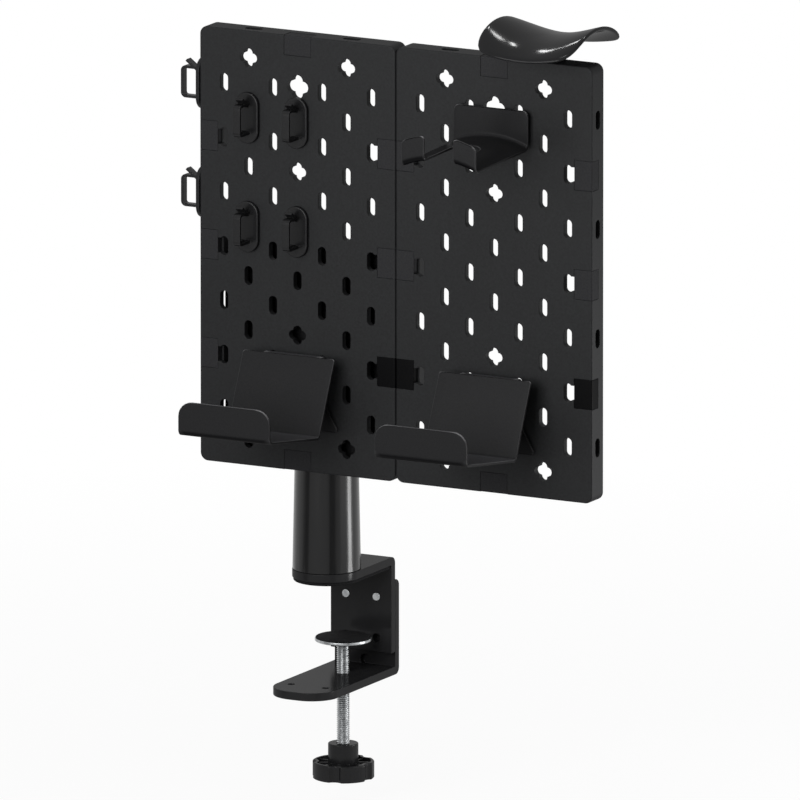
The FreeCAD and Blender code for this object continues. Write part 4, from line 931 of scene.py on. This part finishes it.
def rounded_bar(half_x, half_y, radius, z):
    """Level ring of a bar with rounded corners under the rest."""
    ring = []
    for quarter in range(4):
        middle_x = (half_x - radius) * (1, -1, -1, 1)[quarter]
        middle_y = (half_y - radius) * (1, 1, -1, -1)[quarter]
        for i in range(7):
            angle = pi / 2 * (quarter + i / 6)
            ring.append((rest_x + middle_x + radius * cos(angle), rest_y + middle_y + radius * sin(angle), z))
    return ring


stem_foot, stem_top = panel_top + 0.3, crown - SADDLE_T_MM / 2
stem = skin([rounded_bar(STEM_HALF[0] + grow, STEM_HALF[1] + grow, STEM_CORNER_MM + grow, z) for grow, z in (
    (-0.6, stem_foot), (-0.17, stem_foot + 0.17), (0.0, stem_foot + 0.6), (0.0, stem_top - 6.0),
    (0.35, stem_top - 4.0), (1.2, stem_top - 2.4), (2.2, stem_top - 1.6), (2.2, stem_top))])
blade = skin([rounded_bar(BLADE_HALF[0] - inset, BLADE_HALF[1] - inset, 1.0, z) for inset, z in (
    (0.6, rest_low.z), (0.2, rest_low.z + 0.5), (0.0, rest_low.z + 1.2), (0.0, stem_foot + 0.7))])
add_piece("rest_saddle", [saddle, stem, blade], "headphone_rest", gloss_abs,
          "headphone_rest")

# %% [markdown]
# ## The stage
#
# The picture has a plain white ground. The world and the floor are white where the camera, a reflection or
# a clear piece looks at them, and quieter as a light, so the ground is white without flooding the black
# object with light. The floor lies where the knob comes to when the screw is turned right down, and it still
# takes a little of the shadow.

# %% World
def seen_share(tree):
    """1 for what the camera, a reflection or a clear piece sees, and 0 for plain light."""
    look = add_node(tree, "ShaderNodeLightPath", {})
    seen = add_node(tree, "ShaderNodeMath", {
        0: look.outputs["Is Camera Ray"], 1: look.outputs["Is Glossy Ray"]}, operation="MAXIMUM")
    return add_node(tree, "ShaderNodeMath", {
        0: seen.outputs[0], 1: look.outputs["Is Transmission Ray"]}, operation="MAXIMUM").outputs[0]


WORLD_LIGHT = 0.17

world = bpy.data.worlds.new("white_studio")
scene.world = world
world.use_nodes = True
tree = world.node_tree
tree.nodes.clear()
strength = add_node(tree, "ShaderNodeMapRange", {
    "Value": seen_share(tree), "To Min": WORLD_LIGHT, "To Max": 1.0})
glow = add_node(tree, "ShaderNodeBackground", {"Color": (1, 1, 1, 1), "Strength": strength.outputs["Result"]})
add_node(tree, "ShaderNodeOutputWorld", {"Surface": glow.outputs["Background"]})
print("world", len(tree.nodes), "nodes")

# %% Floor
FLOOR_SIDE = 8.0
FLOOR_GAP = 0.4 * MM
FADE_FROM, FADE_TO = 0.3, 1.2  # metres from the frame's origin over which the shadow fades out
SHADOW_SHARE = 0.07           # how much of the floor's look near the object is its lit and shaded paper

screw_travel = next(joint for joint in frame["joints"] if joint["name"] == "pad_lift")["range_m"]
floor_z = cad_low[2] + screw_travel[0] - FLOOR_GAP
half_side = FLOOR_SIDE / 2
floor_mesh = bpy.data.meshes.new("floor")
corners = ((-half_side, -half_side), (half_side, -half_side), (half_side, half_side), (-half_side, half_side))
floor_mesh.from_pydata([(x, y, floor_z) for x, y in corners], [], [(0, 1, 2, 3)])
floor = bpy.data.objects.new("floor", floor_mesh)
scene.collection.objects.link(floor)

paper = bpy.data.materials.new("white_paper")
paper.use_nodes = True
tree = paper.node_tree
tree.nodes.clear()
spot = add_node(tree, "ShaderNodeNewGeometry", {})
reach = add_node(tree, "ShaderNodeVectorMath", {0: spot.outputs["Position"]}, operation="LENGTH")
fade = add_node(tree, "ShaderNodeMapRange", {
    "Value": reach.outputs["Value"], "From Min": FADE_FROM, "From Max": FADE_TO,
    "To Min": 1 - SHADOW_SHARE, "To Max": 1.0})
share = add_node(tree, "ShaderNodeMath", {
    0: seen_share(tree), 1: fade.outputs["Result"]}, operation="MULTIPLY")
look = add_node(tree, "ShaderNodeLightPath", {})
bounce = add_node(tree, "ShaderNodeMix", {
    "Factor": look.outputs["Is Diffuse Ray"], "A": linear("#f2f2f2"), "B": linear("#202020")},
    data_type="RGBA")
sheet = add_node(tree, "ShaderNodeBsdfDiffuse", {"Color": bounce.outputs["Result"]})
white = add_node(tree, "ShaderNodeEmission", {"Color": (1, 1, 1, 1), "Strength": 1.0})
mixed = add_node(tree, "ShaderNodeMixShader", {
    "Fac": share.outputs[0], 1: sheet.outputs["BSDF"], 2: white.outputs["Emission"]})
add_node(tree, "ShaderNodeOutputMaterial", {"Surface": mixed.outputs["Shader"]})
floor_mesh.materials.append(paper)
print("floor at", round(floor_z, 4), "m")

# %% [markdown]
# ## The lamps
#
# The column shows where the lamps stood: a broad soft band to the front, a ramp on the right and a narrow
# bright line near the right edge. Three small lamps high up behind give the headphone rest its glints. Each
# lamp is a rectangle that faces the object. Its brightness is written with the white of the paper as 1, and
# the power that Blender wants follows from that and its size.

# %% Lamps
def add_lamp(name, azimuth, height, distance, width, tall, brightness):
    """Rectangular lamp that faces the object; azimuth is counted from the board's front towards its right."""
    lamp = bpy.data.objects.new(name, bpy.data.lights.new(name, "AREA"))
    lamp.data.shape = "RECTANGLE"
    lamp.data.size = width
    lamp.data.size_y = tall
    lamp.data.energy = brightness * pi * width * tall
    way = Vector((sin(radians(azimuth)), -cos(radians(azimuth)), 0)) * distance
    lamp.location = Vector((AIM.x, AIM.y, height)) + way
    lamp.rotation_euler = (lamp.location - AIM).to_track_quat("Z", "Y").to_euler()
    scene.collection.objects.link(lamp)


LAMPS = (                     # name, azimuth in degrees, four lengths in metres, brightness
    ("front_box", -2, 0.5, 1.2, 0.86, 0.8, 5.4),
    ("right_box", 85, 0.25, 0.8, 0.28, 0.8, 1.0),
    ("right_strip", 115, 0.0, 0.7, 0.16, 0.32, 18),
    ("top_box", 10, 1.5, 0.5, 0.3, 0.3, 9),
    ("back_high", -165, 1.55, 0.65, 0.1, 0.1, 45),
    ("back_middle", -156, 1.45, 0.72, 0.06, 0.06, 60),
    ("back_low", -138, 1.2, 0.86, 0.07, 0.07, 45),
)
for lamp_values in LAMPS:
    add_lamp(*lamp_values)
print(len(LAMPS), "lamps")

# %% [markdown]
# ## Grey cards
#
# Two darker bands run down the column, one on each side of its broad front band. A photographer draws such
# bands with dark cards that stand just out of the picture. These cards are seen in reflections alone, so
# they take no light from the object.

# %% Cards
CARD_AWAY = 0.5               # metres from the column's axis
CARD_WIDTH = 0.17
CARD_TALL = 0.32

card_grey = start_finish("grey_card", {
    "Base Color": (0, 0, 0, 1), "Specular IOR Level": 0.0, "Roughness": 1.0,
    "Emission Color": linear("#9c9c9c"), "Emission Strength": 1.0})[0]


def add_card(name, azimuth):
    """Upright grey card on the floor that faces the column's axis."""
    way = Vector((sin(radians(azimuth)), -cos(radians(azimuth)), 0))
    foot = way * CARD_AWAY + Vector((0, 0, floor_z))
    across, up = Vector((way.y, -way.x, 0)) * CARD_WIDTH / 2, Vector((0, 0, CARD_TALL))
    mesh = bpy.data.meshes.new(name)
    corners = [foot - across, foot + across, foot + across + up, foot - across + up]
    mesh.from_pydata(corners, [], [(0, 1, 2, 3)])
    mesh.materials.append(card_grey)
    card = bpy.data.objects.new(name, mesh)
    card.visible_camera = card.visible_diffuse = card.visible_transmission = card.visible_shadow = False
    scene.collection.objects.link(card)


add_card("right_card", 48)
add_card("left_card", -45)
print("2 cards")

# %% [markdown]
#
# The CAD model's box is printed at the end.

# %% Print the CAD box
print("CAD box", tuple(cad_low), tuple(cad_high))
